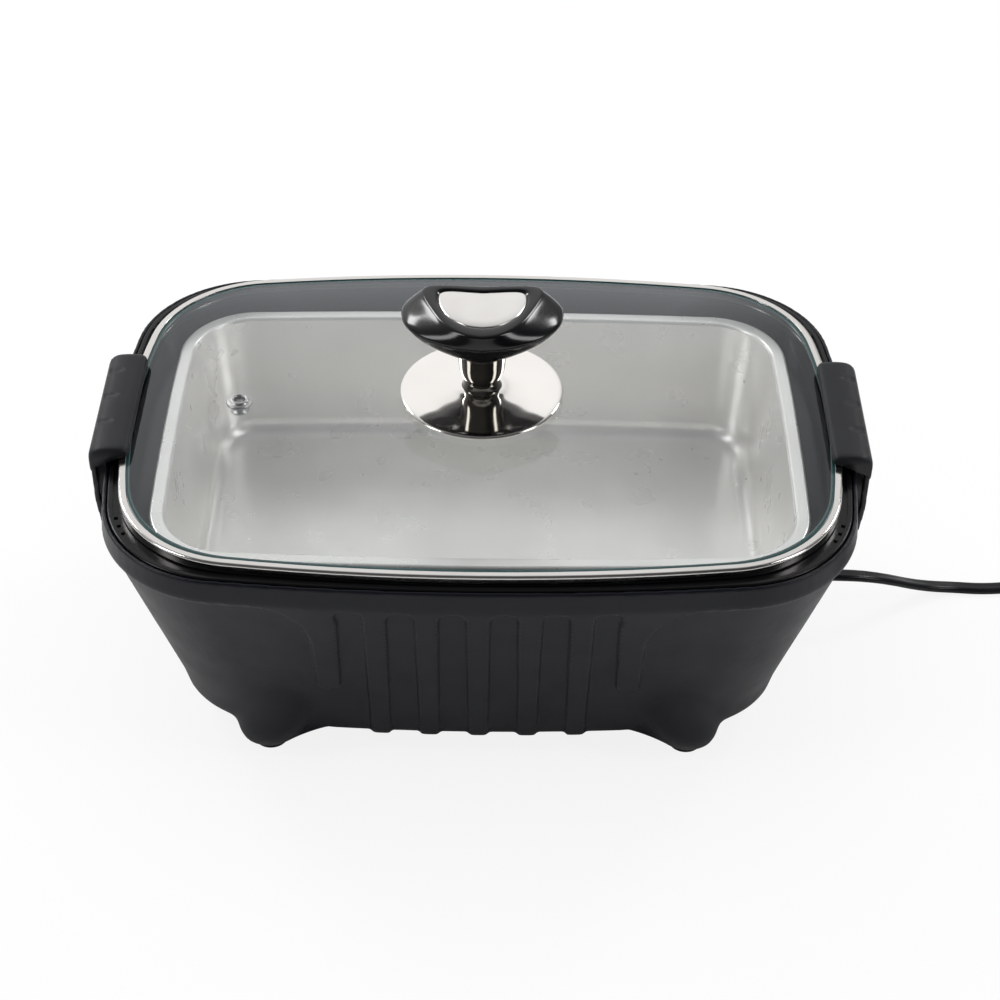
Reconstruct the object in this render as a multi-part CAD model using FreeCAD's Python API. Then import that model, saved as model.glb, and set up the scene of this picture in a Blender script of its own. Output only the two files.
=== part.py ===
import FreeCAD, Part
import math
import os

V = FreeCAD.Vector
X_AXIS, Y_AXIS, Z_AXIS = V(1, 0, 0), V(0, 1, 0), V(0, 0, 1)

# Portable roaster: a tapered plastic tub with a metal cooking pan, a latched glass lid and a low
# voltage lead. Millimetres, +Z up, the front looks along -Y, the feet stand on Z = 0.

# Tub outline at its top edge: half sizes, bow of each side and corner radius
tub_half_x = 155.4
tub_half_y = 111.1
tub_bow_x = 12.2
tub_bow_y = 12.0
tub_corner = 53.0
tub_top = 114.5
tub_bottom = 12.0
tub_wall = 3.0
tub_floor = 3.0
wall_slope = 0.291
bottom_round = 3.5
# Corner radii of the leaning wall under the collar and at the floor
wall_corner_top = 51.5
wall_corner_low = 42.0

# Collar under the top edge, and the raised relief of the front and back faces
collar_height = 9.5
collar_flare = 1.0
band_below = 1.5
relief = 1.6
rib_pitch = 20.36
rib_bottom_width = 8.0
long_ribs = 5
flute_radius = 5.4
flute_drop = 10.4
short_rib_inner = 55.4
short_rib_outer = 66.6
short_rib_end = 45.5
shoulder_radius = 24.0
rib_drop = 1.2
rib_wrap = 9.0

# Corner legs, set in from the tub's sides: (height, radius, shift outwards, shift to the middle)
leg_inset_x = 67.0
leg_inset_y = 37.1
leg_sections = ((2.0, 7.6, 0.0, 0.0), (5.5, 10.9, 0.5, 0.4), (11.0, 14.0, 0.8, 1.9),
                (19.0, 17.0, -0.5, 4.5), (30.0, 18.5, -2.0, 7.0), (44.0, 17.5, -4.0, 9.0))
# Web between leg and tub floor: its upper circle and that circle's place from the leg
web_radius = 20.0
web_reach_x = 26.4
web_reach_y = 14.0
web_low_radius = 9.0
web_low = 3.5
pad_radius = 7.0

# Bezel: the lip around the lid, the seat of the lid and the black ring that carries the pan
rabbet_depth = 6.5
rabbet_wall = 1.6
bezel_gap = 0.3
lip_width = 4.1
lid_seat_drop = 0.9
lid_seat_width = 4.6
ring_drop = 1.5
ring_thickness = 2.5
bezel_skirt_gap = 1.1
fin_length = 1.8
fin_width = 1.0
fin_height = 0.7

# Lid: clearance of the metal rim to the lip, and how much more its sides bow than the tub's
lid_clear_x = 1.3
lid_clear_y = 1.2
lid_bow_more_x = 4.0
lid_bow_more_y = 2.3
rim_metal = 0.5
rim_height = 5.0
rim_flange = 3.1
glass_thickness = 4.0
glass_inset = 1.3
# Crown of the glass: (inset from the rim's outer edge, rise over the glass edge)
crown = ((rim_flange + 0.5, 0.0), (8.0, 0.9), (15.0, 2.6), (27.0, 5.1), (45.0, 7.9),
         (64.0, 9.9), (80.0, 10.7))
vent_inset = 49.0
vent_y = -4.3
vent_radius = 3.0
vent_flange = 5.5
vent_bore = 1.9
vent_flange_thickness = 1.0

# Knob on the lid
knob_bolt = 2.5
bolt_head = 5.0
bolt_head_height = 3.0
running_gap = 0.05
washer_radius = 9.0
washer_thickness = 1.0
knob_disc = 34.0
knob_disc_edge = 1.4
knob_waist = 7.5
knob_waist_height = 4.4
knob_neck_top = 10.6
knob_neck_height = 17.5
handle_height = 20.5
handle_half_x = 33.4
handle_half_y = 21.9
inlay_share = 0.57
inlay_thickness = 0.8
# Handle sections: height over its foot and share of the full outline
handle_sections = ((0.0, 0.36), (3.5, 0.52), (8.5, 0.86), (13.0, 0.99), (15.2, 1.0), (17.6, 0.95),
                   (18.6, 0.86))

# Cooking pan: its rolled rim inside the lid's outline, the rim's bows and tighter corners
pan_inset_x = 15.2
pan_inset_y = 16.5
pan_bow_x = 2.3
pan_bow_y = 3.7
pan_corner_less = 20.0
pan_bead = 4.9
pan_bead_height = 3.1
pan_wall = 1.2
pan_depth = 59.5
pan_slope = 0.12
pan_round = 8.0
pan_gap = 0.3

# Heat shield around the pan, insulation board, heater and its clamp
shield_metal = 0.8
shield_clear = 3.9
shield_slope = 0.08
shield_corner_low = 40.0
shield_round = 5.0
shield_edge_gap = 1.1
board_inset_x = 36.8
board_inset_y = 33.3
board_thickness = 11.1
board_corner = 10.0
element_radius = 3.3
element_inset_y = 56.3
element_inset_left = 72.8
element_inset_right = 42.8
element_gap = 0.1
pin_radius = 1.2
pin_length = 9.0
clamp_inset_x = 59.8
clamp_inset_y = 43.3
clamp_corner = 8.0
clamp_metal = 1.5
stud_radius = 2.0
stud_inset_x = 9.0
stud_inset_y = 26.0
nut_radius = 4.0
nut_height = 3.0
thermostat_x = 20.0
thermostat_radius = 9.0
thermostat_terminal = 5.0
fuse_x = -24.0
fuse_radius = 2.2
fuse_length = 14.0

# Wiring inside the tub
terminal_back = 18.0
terminal_off_post = 15.0
terminal_size = (26.0, 18.0, 10.0)
terminal_pitch = 9.0
terminal_well = 2.2
lead_radius = 1.3
lead_depth = 4.0
lead_turn = 8.0
lead_turn_back = 6.0
lead_apart = 3.0
lead_pair = 2.2
lead_below = 7.0
lead_above = 5.0
lead_loop = 11.0
lead_fan = (0.364, 0.758)
bush_reach = 12.0
bush_radius = 6.0
bush_flange = 8.0
bush_wall = 1.3

# Base cover under the tub floor
cover_inset_x = 67.4
cover_inset_y = 70.1
cover_corner = 12.0
cover_thickness = 2.4
opening_margin = 8.0
vent_slots = 9
vent_slot_pitch = 12.0
vent_slot_length = 46.0
vent_slot_width = 3.0
screw_radius = 1.5
screw_head = 3.0
screw_head_height = 1.6
screw_length = 8.0
post_radius = 4.5
post_inset = 8.0
cover_screw_off = 14.5

# Side latches: hinge pin, arm and soft grip
pivot_inset = 4.6
pivot_drop = 48.5
hinge_pin_radius = 1.75
barrel_radius = 4.0
barrel_half = 24.0
ear_gap = 0.4
ear_thickness = 5.0
pin_head = 2.8
arm_metal = 2.6
arm_top_half = 33.0
arm_taper = 2.0
arm_reach = 9.6
# Outer line of the arm: (height over its hinge, distance out from its hinge)
arm_line = ((0.0, 4.1), (9.3, 5.2), (21.8, 7.2), (32.7, 9.0), (42.3, arm_reach))
hook_gap = 0.3
hook_overlap = 3.2
hook_thickness = 2.4
grip_overhang = 1.0
grip_thickness = 2.8
grip_skirt = 7.0
grip_round = 2.2
dent_pitch = 18.3
dent_radius = 4.2

# Lead: where it leaves the tub, its width and the boot
cord_diameter = 6.4
cord_y = 9.0
cord_exit_up = 11.0
boot_gap = 0.1
boot_inside = 18.0
boot_length = 20.0
boot_root = 5.0
boot_tip = 4.2
boot_collar = 7.0
boot_collar_thickness = 2.0
boot_collar_off = 2.4
clip_thickness = 1.5
clip_width = 6.0

# Coil of the unseen length, its tie and the plug
coil_x = 304.0
coil_y = -6.0
coil_mean_radius = 36.0
coil_gap = 1.65
layer_turns = 3
tie_width = 6.0
tie_thickness = 0.8
tie_gap = 0.1
tie_inner_gap = 0.8
plug_boot_length = 22.0
plug_length = 34.0
plug_nose = 10.3
plug_nose_length = 30.0
plug_cap_length = 9.0
plug_cap_lip = 1.5
plug_bore = 4.6
tip_radius = 4.0
tip_length = 8.0
tip_travel = 3.0
side_contact_width = 5.0
side_contact_length = 15.0
side_contact_rise = 0.6
fuse_tube_radius = 3.2
fuse_tube_length = 25.0

# Heights and outlines that follow from the sizes above
lid_half_x = tub_half_x - lip_width - lid_clear_x
lid_half_y = tub_half_y - lip_width - lid_clear_y
lid_bow_x = tub_bow_x + lid_bow_more_x
lid_bow_y = tub_bow_y + lid_bow_more_y
lid_corner = tub_corner
pan_half_x = lid_half_x - pan_inset_x
pan_half_y = lid_half_y - pan_inset_y
tub = (tub_half_x, tub_half_y, tub_bow_x, tub_bow_y, tub_corner)
lid = (lid_half_x, lid_half_y, lid_bow_x, lid_bow_y, lid_corner)
pan = (pan_half_x, pan_half_y, pan_bow_x, pan_bow_y, tub_corner - pan_corner_less)
leg_x = tub_half_x - leg_inset_x
leg_y = tub_half_y - leg_inset_y
collar_bottom = tub_top - collar_height
band_low = collar_bottom - band_below
rabbet_floor = tub_top - rabbet_depth
ring_top = rabbet_floor - ring_drop
lid_seat = tub_top - lid_seat_drop
rim_top = lid_seat + rim_height
glass_edge = rim_top - rim_metal
glass_top = glass_edge + crown[-1][1]
glass_under = glass_top - glass_thickness
pan_bottom = ring_top + pan_bead_height - pan_depth
ring_bottom = ring_top - ring_thickness
clamp_top = pan_bottom - element_gap - 2 * element_radius
board_top = clamp_top - clamp_metal
board_bottom = board_top - board_thickness
shield_bottom = board_bottom - shield_metal
board_x = 2 * (pan_half_x - board_inset_x)
board_y = 2 * (pan_half_y - board_inset_y)
clamp_x = 2 * (pan_half_x - clamp_inset_x)
clamp_y = 2 * (pan_half_y - clamp_inset_y)
stud_x = clamp_x / 2 - stud_inset_x
stud_y = clamp_y / 2 - stud_inset_y
element_half_y = pan_half_y - element_inset_y
element_left = element_inset_left - pan_half_x
element_right = pan_half_x - element_inset_right
bush_x = element_right + bush_reach
terminal_x = bush_x - terminal_back
post_x = board_x / 2 + post_inset
post_y = board_y / 2 - post_inset
terminal_y = post_y - terminal_off_post
cover_x = 2 * (tub_half_x - cover_inset_x)
cover_y = 2 * (tub_half_y - cover_inset_y)
floor_top = tub_bottom + tub_floor
pivot_x = tub_half_x - pivot_inset
pivot_z = tub_top - pivot_drop
arm_low_half = arm_top_half - arm_taper
grip_half = arm_top_half + grip_overhang
hook_tip = lid_half_x - hook_overlap
hook_bottom = rim_top + hook_gap
hook_top = hook_bottom + hook_thickness
bezel_outer = -rabbet_wall - bezel_gap
skirt_outer = -tub_wall - relief - bezel_skirt_gap
cord_radius = cord_diameter / 2
cord_exit_z = tub_bottom + cord_exit_up
vent_x = vent_inset - lid_half_x
knob_seat = glass_top + washer_thickness
arm_face = pivot_x + arm_reach
arm_wide_z = pivot_z + arm_line[-1][0]
coil_pitch = cord_diameter + coil_gap
coil_first_z = cord_radius + tie_thickness + tie_gap
coil_outer = coil_mean_radius + coil_pitch * (layer_turns - 0.5) / 2
plug_radius = coil_first_z + coil_pitch


def wire(edges):
    return Part.Wire(Part.__sortEdges__(edges))


def corner_geometry(base):
    """Centres and tangent angles of an outline with four bowed sides and four round corners."""
    half_x, half_y, bow_x, bow_y, corner = base
    side = (half_y ** 2 + bow_x ** 2) / (2 * bow_x)
    back = (half_x ** 2 + bow_y ** 2) / (2 * bow_y)
    side_x, back_y = half_x - side, half_y - back
    reach_1, reach_2 = side - corner, back - corner
    apart = math.hypot(side_x, back_y)
    along = (reach_1 ** 2 - reach_2 ** 2 + apart ** 2) / (2 * apart)
    off = math.sqrt(reach_1 ** 2 - along ** 2)
    ux, uy = -side_x / apart, back_y / apart
    cx, cy = side_x + ux * along - uy * off, uy * along + ux * off
    if cx < 0 or cy < 0:
        cx, cy = side_x + ux * along + uy * off, uy * along - ux * off
    angle_1 = math.atan2(cy, cx - side_x)
    angle_2 = math.atan2(cy - back_y, cx)
    return cx, cy, angle_1, angle_2


def outline(base, grow, z):
    """The outline as a closed wire at height z, all its arcs moved outwards by grow."""
    cx, cy, angle_1, angle_2 = corner_geometry(base)
    radius = base[4] + grow
    half_x, half_y = base[0] + grow, base[1] + grow

    def on_corner(angle):
        return cx + radius * math.cos(angle), cy + radius * math.sin(angle)

    j1, jm, j2 = on_corner(angle_1), on_corner((angle_1 + angle_2) / 2), on_corner(angle_2)
    points = [(j1[0], -j1[1]), (half_x, 0), j1, jm, j2, (0, half_y), (-j2[0], j2[1]),
              (-jm[0], jm[1]), (-j1[0], j1[1]), (-half_x, 0), (-j1[0], -j1[1]),
              (-jm[0], -jm[1]), (-j2[0], -j2[1]), (0, -half_y), (j2[0], -j2[1]),
              (jm[0], -jm[1])]
    points = [V(x, y, z) for x, y in points] + [V(points[0][0], points[0][1], z)]
    arcs = [Part.Arc(points[i], points[i + 1], points[i + 2]).toShape() for i in range(0, 16, 2)]
    return Part.Wire(arcs)


def prism(base, grow, z0, z1):
    return Part.Face(outline(base, grow, z0)).extrude(V(0, 0, z1 - z0))


def frustum(base, grow_0, z0, grow_1, z1):
    return Part.makeLoft([outline(base, grow_0, z0), outline(base, grow_1, z1)], True, True)


def edges_at(shape, z, span=0.01):
    """Edges of a shape that lie flat at one height."""
    return [e for e in shape.Edges if abs(e.BoundBox.ZMin - z) < span and e.BoundBox.ZLength < span]


def cylinder(radius, height, x=0.0, y=0.0, z=0.0, direction=Z_AXIS):
    return Part.makeCylinder(radius, height, V(x, y, z), direction)


def block(x0, x1, y0, y1, z0, z1):
    return Part.makeBox(x1 - x0, y1 - y0, z1 - z0, V(x0, y0, z0))


def rounded_plate(size_x, size_y, corner, z0, z1):
    plate = block(-size_x / 2, size_x / 2, -size_y / 2, size_y / 2, z0, z1)
    upright = [e for e in plate.Edges if e.BoundBox.ZLength > (z1 - z0) / 2]
    return plate.makeFillet(corner, upright)


def fuse(shapes):
    return shapes[0].multiFuse(shapes[1:]).removeSplitter()


def mirrored(shape, normal):
    return shape.mirror(V(0, 0, 0), normal)


def four_ways(x, y):
    return [(sx * x, sy * y) for sx in (-1, 1) for sy in (-1, 1)]


def revolved(profile, x=0.0, y=0.0):
    """Solid turned about the vertical through x, y from (radius, height) corner points."""
    points = [V(r, 0, z) for r, z in profile] + [V(profile[0][0], 0, profile[0][1])]
    solid = Part.Face(Part.makePolygon(points)).revolve(V(0, 0, 0), Z_AXIS, 360)
    solid.translate(V(x, y, 0))
    return solid


def wall_grow(z, lift=0.0):
    """Inward lean of the tub's lower wall at height z; lift is how far a face stands proud."""
    return collar_flare - relief + lift - wall_slope * (collar_bottom - z)


def wall_section(z, lift=0.0):
    """Outline of the leaning wall at height z, with the wall's own corner radius there."""
    share = (collar_bottom - z) / (collar_bottom - tub_bottom)
    radius = wall_corner_top + (wall_corner_low - wall_corner_top) * share
    base = tub[:4] + (radius - wall_grow(z),)
    return outline(base, wall_grow(z, lift), z)


def leaning_solid(lift, low, radius):
    """Lower part of the tub from its band down to height low, with a rounded bottom edge."""
    solid = Part.makeLoft([wall_section(band_low, lift), wall_section(low, lift)], True, True)
    return solid.makeFillet(radius, edges_at(solid, low))


def rib_solid(x, top, bottom, top_width, bottom_width):
    """One upright rib, narrowing downwards to a round end, as a prism through the front face."""
    low = bottom + bottom_width / 2
    face = Part.Face(Part.makePolygon([
        V(x - top_width / 2, 0, top), V(x - bottom_width / 2, 0, low),
        V(x + bottom_width / 2, 0, low), V(x + top_width / 2, 0, top),
        V(x - top_width / 2, 0, top)]))
    end = Part.makeCylinder(bottom_width / 2, 1.0, V(x, 0, low), Y_AXIS)
    bar = face.extrude(V(0, 1, 0)).fuse(end)
    return bar


def relief_pattern():
    """Raised band, ribs and shoulders of the front face, one millimetre deep in Y."""
    arch = tub_top - flute_drop - flute_radius
    top_width = rib_pitch - 2 * flute_radius
    middle = (long_ribs - 1) / 2
    parts = [block(-short_rib_outer, short_rib_outer, 0, 1, arch, collar_bottom)]
    for i in range(long_ribs):
        x = (i - middle) * rib_pitch
        parts.append(rib_solid(x, arch, tub_bottom - rib_drop - 0.6, top_width,
                               rib_bottom_width))
    short_width = short_rib_outer - short_rib_inner
    for side in (-1, 1):
        x = side * (short_rib_inner + short_rib_outer) / 2
        parts.append(rib_solid(x, arch, short_rib_end, short_width, short_width - 1.4))
        corner_x = side * (short_rib_outer + shoulder_radius)
        low = band_low - shoulder_radius
        x0, x1 = sorted((side * (short_rib_outer - 0.5), corner_x))
        shoulder = block(x0, x1, 0, 1, low, collar_bottom)
        hollow = Part.makeCylinder(shoulder_radius, 1.0, V(corner_x, 0, low), Y_AXIS)
        parts.append(shoulder.cut(hollow))
    pattern = fuse(parts)
    flutes = [Part.makeCylinder(flute_radius, 1.0, V((i + 0.5 - middle - 1) * rib_pitch, 0, arch),
                                Y_AXIS) for i in range(long_ribs + 1)]
    return pattern.cut(Part.makeCompound(flutes))


def front_relief():
    """The pattern cut out of the proud face of the leaning wall; its ribs wrap under the edge."""
    proud = leaning_solid(relief, tub_bottom - rib_drop, bottom_round + rib_drop)
    pattern = relief_pattern()
    inner = tub_half_y + wall_grow(tub_bottom) - rib_wrap
    deep = tub_half_y + collar_flare + 1.0 - inner
    stretch = FreeCAD.Matrix()
    stretch.scale(1.0, deep, 1.0)
    pattern = pattern.transformGeometry(stretch)
    pattern.translate(V(0, -inner - deep, 0))
    return proud.common(pattern)


def leg(side_x, side_y):
    """One corner leg: a swelling column that grows out of the wall, and its web to the floor."""
    rings = []
    for height, radius, outwards, inwards in leg_sections:
        centre = V(side_x * (leg_x - inwards), side_y * (leg_y + outwards), height)
        rings.append(Part.Wire(Part.makeCircle(radius, centre, Z_AXIS)))
    column = Part.makeLoft(rings, True, False)
    low = V(side_x * (leg_x - 2.4), side_y * (leg_y - 1.5), web_low)
    high = V(side_x * (leg_x - web_reach_x), side_y * (leg_y - web_reach_y),
             tub_bottom + bottom_round - 0.5)
    web = Part.makeLoft([Part.Wire(Part.makeCircle(web_low_radius, low, Z_AXIS)),
                         Part.Wire(Part.makeCircle(web_radius, high, Z_AXIS))], True, True)
    return column.fuse(web)


def hinge_ears(side):
    """Two lugs that hold a latch pin beside the wall."""
    ears = []
    inner = barrel_half + ear_gap
    root = tub_half_x + wall_grow(pivot_z) - tub_wall / 2
    for y0 in (-inner - ear_thickness, inner):
        lug = block(root - tub_wall / 2, pivot_x, y0, y0 + ear_thickness,
                    pivot_z - barrel_radius, pivot_z + barrel_radius)
        knuckle = cylinder(barrel_radius, ear_thickness, pivot_x, y0, pivot_z, Y_AXIS)
        ears.append(lug.fuse(knuckle))
    ears = Part.makeCompound(ears)
    return ears if side > 0 else mirrored(ears, X_AXIS)


def floor_posts():
    """Posts on the tub floor that carry the heat shield."""
    return [cylinder(post_radius, shield_bottom - floor_top, x, y, floor_top)
            for x, y in four_ways(post_x, post_y)]


def cover_screw_places():
    across, along = cover_x / 2 - opening_margin / 2, cover_y / 2 - opening_margin / 2
    return four_ways(across, terminal_y - cover_screw_off) + [(0, along), (0, -along)]


def housing():
    """Tub shell with its collar, ribs, legs, floor, posts and hinge ears."""
    collar = frustum(tub, 0.0, tub_top, collar_flare, collar_bottom)
    band = frustum(tub, wall_grow(collar_bottom, relief), collar_bottom,
                   wall_grow(band_low, relief), band_low)
    shape = leaning_solid(0.0, tub_bottom, bottom_round)
    front = front_relief()
    solids = [shape, collar, band] + list(front.Solids) + list(mirrored(front, Y_AXIS).Solids)
    solids += [leg(sx, sy) for sx, sy in four_ways(1, 1)]
    for side in (-1, 1):
        solids += list(hinge_ears(side).Solids)
    shape = fuse(solids)
    inner = Part.makeLoft([wall_section(collar_bottom, -tub_wall),
                           wall_section(floor_top, -tub_wall)], True, True)
    inner = inner.makeFillet(bottom_round, edges_at(inner, floor_top))
    lean_top = wall_grow(collar_bottom) - tub_wall
    neck = prism(tub, lean_top, collar_bottom, rabbet_floor + 0.01)
    rabbet = prism(tub, -rabbet_wall, rabbet_floor, tub_top + 1)
    shape = shape.cut(Part.makeCompound([inner, neck, rabbet]))
    shape = fuse([shape] + floor_posts())
    opening = rounded_plate(cover_x - 2 * opening_margin, cover_y - 2 * opening_margin,
                            cover_corner - 4, tub_bottom - 1, floor_top + 1)
    cuts = [opening]
    for x, y in cover_screw_places():
        cuts.append(cylinder(screw_radius + running_gap, tub_floor + 2, x, y, tub_bottom - 1))
    for x, y in four_ways(post_x, post_y):
        cuts.append(cylinder(screw_radius + running_gap, shield_bottom - tub_bottom + 2, x, y,
                             tub_bottom - 1))
    pin_hole = hinge_pin_radius + running_gap
    for side in (-1, 1):
        cuts.append(cylinder(pin_hole, 2 * barrel_half + 4 * ear_thickness, side * pivot_x,
                             -barrel_half - 2 * ear_thickness, pivot_z, Y_AXIS))
    cuts.append(cylinder(boot_root + boot_gap, boot_inside + tub_wall, boot_face() - boot_inside,
                         cord_y, cord_exit_z, X_AXIS))
    return shape.cut(Part.makeCompound(cuts))


def boot_face():
    """X of the outer wall where the lead comes out."""
    side = (tub_half_y ** 2 + tub_bow_x ** 2) / (2 * tub_bow_x)
    return tub_half_x + wall_grow(cord_exit_z) - cord_y ** 2 / (2 * side)


def foot_pads():
    height = leg_sections[0][0]
    return Part.makeCompound([cylinder(pad_radius, height, x, y, 0)
                              for x, y in four_ways(leg_x, leg_y)])


def bezel_fins():
    """Small locating ribs in the gap between lid and lip, three at each corner."""
    cx, cy, angle_1, angle_2 = corner_geometry(tub)
    fins = []
    for share in (0.12, 0.2, 0.28):
        angle = angle_1 + (angle_2 - angle_1) * share
        reach = tub_corner - lip_width - fin_length
        fin = block(reach, reach + fin_length + 0.4, -fin_width / 2, fin_width / 2,
                    lid_seat - 0.2, lid_seat + fin_height)
        fin.rotate(V(0, 0, 0), Z_AXIS, math.degrees(angle))
        fin.translate(V(cx, cy, 0))
        fins += [fin, mirrored(fin, X_AXIS), mirrored(fin, Y_AXIS),
                 mirrored(mirrored(fin, X_AXIS), Y_AXIS)]
    return fins


def top_bezel():
    """Lip, lid seat and black pan ring in one moulding that drops into the tub's rabbet."""
    lip = prism(tub, bezel_outer, rabbet_floor, tub_top)
    lip = lip.makeFillet(0.8, edges_at(lip, tub_top))
    skirt = prism(tub, skirt_outer, ring_bottom, rabbet_floor + 0.5)
    shape = lip.fuse(skirt)
    cuts = [prism(tub, -lip_width, lid_seat, tub_top + 1),
            prism(lid, -lid_seat_width, ring_top, tub_top + 1),
            prism(pan, -pan_bead + pan_gap, ring_bottom - 1, ring_top + 1)]
    shape = shape.cut(Part.makeCompound(cuts))
    shape = fuse([shape] + bezel_fins())
    holes = [cylinder(screw_radius, screw_length - shield_metal, x, y, ring_bottom - 0.01)
             for x, y in shield_screw_places()]
    return shape.cut(Part.makeCompound(holes))


def shield_screw_places():
    """Screws of the shield flange, in the thick part of the bezel."""
    side_x = (lid_half_x - lid_seat_width + tub_half_x + skirt_outer) / 2 - 0.6
    back_y = (lid_half_y - lid_seat_width + tub_half_y + skirt_outer) / 2 - 0.1
    return four_ways(side_x, 14.0) + four_ways(16.0, back_y)


def cooking_pan():
    """Bright drawn pan with a rolled rim that rests on the bezel ring."""
    rim_level = ring_top + pan_bead_height
    outer_grow = -pan_bead
    low = outer_grow - pan_slope * (rim_level - pan_bottom)
    body = frustum(pan, outer_grow, rim_level - 1.0, low, pan_bottom)
    body = body.makeFillet(pan_round + pan_wall, edges_at(body, pan_bottom))
    hollow = frustum(pan, outer_grow - pan_wall, rim_level + 1.0,
                     low - pan_wall, pan_bottom + pan_wall)
    hollow = hollow.makeFillet(pan_round, edges_at(hollow, pan_bottom + pan_wall))
    bead = prism(pan, 0.0, ring_top, rim_level)
    bead = bead.cut(prism(pan, outer_grow - pan_wall, ring_top - 1, rim_level + 1))
    bead = bead.makeFillet(1.3, edges_at(bead, rim_level))
    return fuse([bead, body.cut(hollow)])


def heat_shield():
    """Thin metal tray around the pan, hung from the bezel by its flange."""
    flange_low = ring_bottom - shield_metal
    top_grow = -pan_bead + shield_clear
    low_grow = top_grow - shield_slope * (flange_low - shield_bottom)
    low = pan[:4] + (shield_corner_low - low_grow,)
    body = Part.makeLoft([outline(pan, top_grow, ring_bottom), outline(low, low_grow, shield_bottom)],
                         True, True)
    body = body.makeFillet(shield_round, edges_at(body, shield_bottom))
    hollow = Part.makeLoft([outline(pan, top_grow - shield_metal, ring_bottom + 1),
                            outline(low, low_grow - shield_metal, board_bottom)], True, True)
    hollow = hollow.makeFillet(shield_round - shield_metal, edges_at(hollow, board_bottom))
    flange = prism(tub, skirt_outer - shield_edge_gap, flange_low, ring_bottom)
    shape = fuse([body, flange]).cut(hollow)
    holes = [cylinder(screw_radius + running_gap, 3, x, y, flange_low - 1)
             for x, y in shield_screw_places()]
    holes += [cylinder(screw_radius, 3, x, y, shield_bottom - 1)
              for x, y in four_ways(post_x, post_y)]
    holes.append(cylinder(bush_radius + running_gap, 3, bush_x, 0, shield_bottom - 1))
    return shape.cut(Part.makeCompound(holes))


def screw(x, y, face, length, up=1):
    """Pan-head screw whose head lies under (up = 1) a face at height face."""
    head = cylinder(screw_head, screw_head_height, x, y, face - screw_head_height)
    rim = [e for e in head.Edges if abs(e.BoundBox.ZMax - (face - screw_head_height)) < 0.01]
    head = head.makeFillet(0.8, rim)
    return head.fuse(cylinder(screw_radius - 0.02, length, x, y, face))


def shield_screws():
    face = ring_bottom - shield_metal
    return Part.makeCompound([screw(x, y, face, screw_length - 0.5)
                              for x, y in shield_screw_places()])


def post_screws():
    length = shield_bottom - tub_bottom + shield_metal + 2.0
    return Part.makeCompound([screw(x, y, tub_bottom, length)
                              for x, y in four_ways(post_x, post_y)])


def insulation_board():
    board = rounded_plate(board_x, board_y, board_corner, board_bottom, board_top)
    cuts = [cylinder(nut_radius + 1.0, 20, x, y, board_top - nut_height - 1.5)
            for x, y in four_ways(stud_x, stud_y)]
    cuts.append(cylinder(bush_radius + 14, 30, bush_x, 0, board_bottom - 1))
    return board.cut(Part.makeCompound(cuts))


def element_route():
    centre = pan_bottom - element_gap - element_radius
    turn = V(element_left - element_half_y, 0, centre)
    start, end = V(element_right, -element_half_y, centre), V(element_right, element_half_y, centre)
    left_1 = V(element_left, -element_half_y, centre)
    left_2 = V(element_left, element_half_y, centre)
    return Part.Wire([Part.makeLine(start, left_1), Part.Arc(left_1, turn, left_2).toShape(),
                      Part.makeLine(left_2, end)])


def heating_element():
    """Sheathed heater bent to a U under the pan, with a terminal pin at each end."""
    route = element_route()
    start = route.Vertexes[0].Point
    ring = Part.Wire(Part.makeCircle(element_radius, start, X_AXIS))
    tube = route.makePipeShell([ring], True, False)
    pins = [cylinder(pin_radius, pin_length, element_right, side * element_half_y, start.z, X_AXIS)
            for side in (-1, 1)]
    return fuse([tube] + pins)


def element_clamp():
    """Pressed plate that holds the element against the pan."""
    plate = rounded_plate(clamp_x, clamp_y, clamp_corner, board_top, clamp_top)
    holes = [cylinder(stud_radius + running_gap, 4, x, y, board_top - 1)
             for x, y in four_ways(stud_x, stud_y)]
    return plate.cut(Part.makeCompound(holes))


def clamp_studs():
    """Studs under the pan with their nuts under the clamp plate."""
    studs = []
    for x, y in four_ways(stud_x, stud_y):
        stud = cylinder(stud_radius, pan_bottom - board_top + nut_height, x, y,
                        board_top - nut_height)
        corners = [V(x + nut_radius * math.cos(math.pi * k / 3),
                     y + nut_radius * math.sin(math.pi * k / 3), board_top - nut_height)
                   for k in range(7)]
        nut = Part.Face(Part.makePolygon(corners)).extrude(V(0, 0, nut_height))
        studs.append(stud.fuse(nut))
    return Part.makeCompound(studs)


def thermostat():
    """Disc thermostat between clamp plate and pan, with two blade terminals."""
    body = cylinder(thermostat_radius, pan_bottom - clamp_top, thermostat_x, 0, clamp_top)
    middle = (clamp_top + pan_bottom) / 2
    blades = [block(thermostat_x + side * (thermostat_radius + thermostat_terminal / 2 - 1)
                    - thermostat_terminal / 2 - 1,
                    thermostat_x + side * (thermostat_radius + thermostat_terminal / 2 - 1)
                    + thermostat_terminal / 2 + 1, -2.4, 2.4, middle - 0.4, middle + 0.4)
              for side in (-1, 1)]
    return fuse([body] + blades)


def thermal_fuse():
    """Axial thermal fuse lying on the clamp plate."""
    return cylinder(fuse_radius, fuse_length, fuse_x - fuse_length / 2, 0,
                    clamp_top + fuse_radius, X_AXIS)


def terminal_block():
    """Two-way screw terminal on the tub floor."""
    size_x, size_y, size_z = terminal_size
    body = block(terminal_x - size_x / 2, terminal_x + size_x / 2, terminal_y - size_y / 2,
                 terminal_y + size_y / 2, floor_top, floor_top + size_z)
    wells = [cylinder(terminal_well, 5, terminal_x, terminal_y + dy, floor_top + size_z - 3)
             for dy in (-terminal_pitch / 2, terminal_pitch / 2)]
    ports = [cylinder(lead_radius + running_gap, 6, terminal_x + size_x / 2 - 5.0,
                      terminal_y + side * terminal_pitch / 2, floor_top + size_z / 2, X_AXIS)
             for side in (-1, 1)]
    return body.cut(Part.makeCompound(wells + ports))


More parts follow.
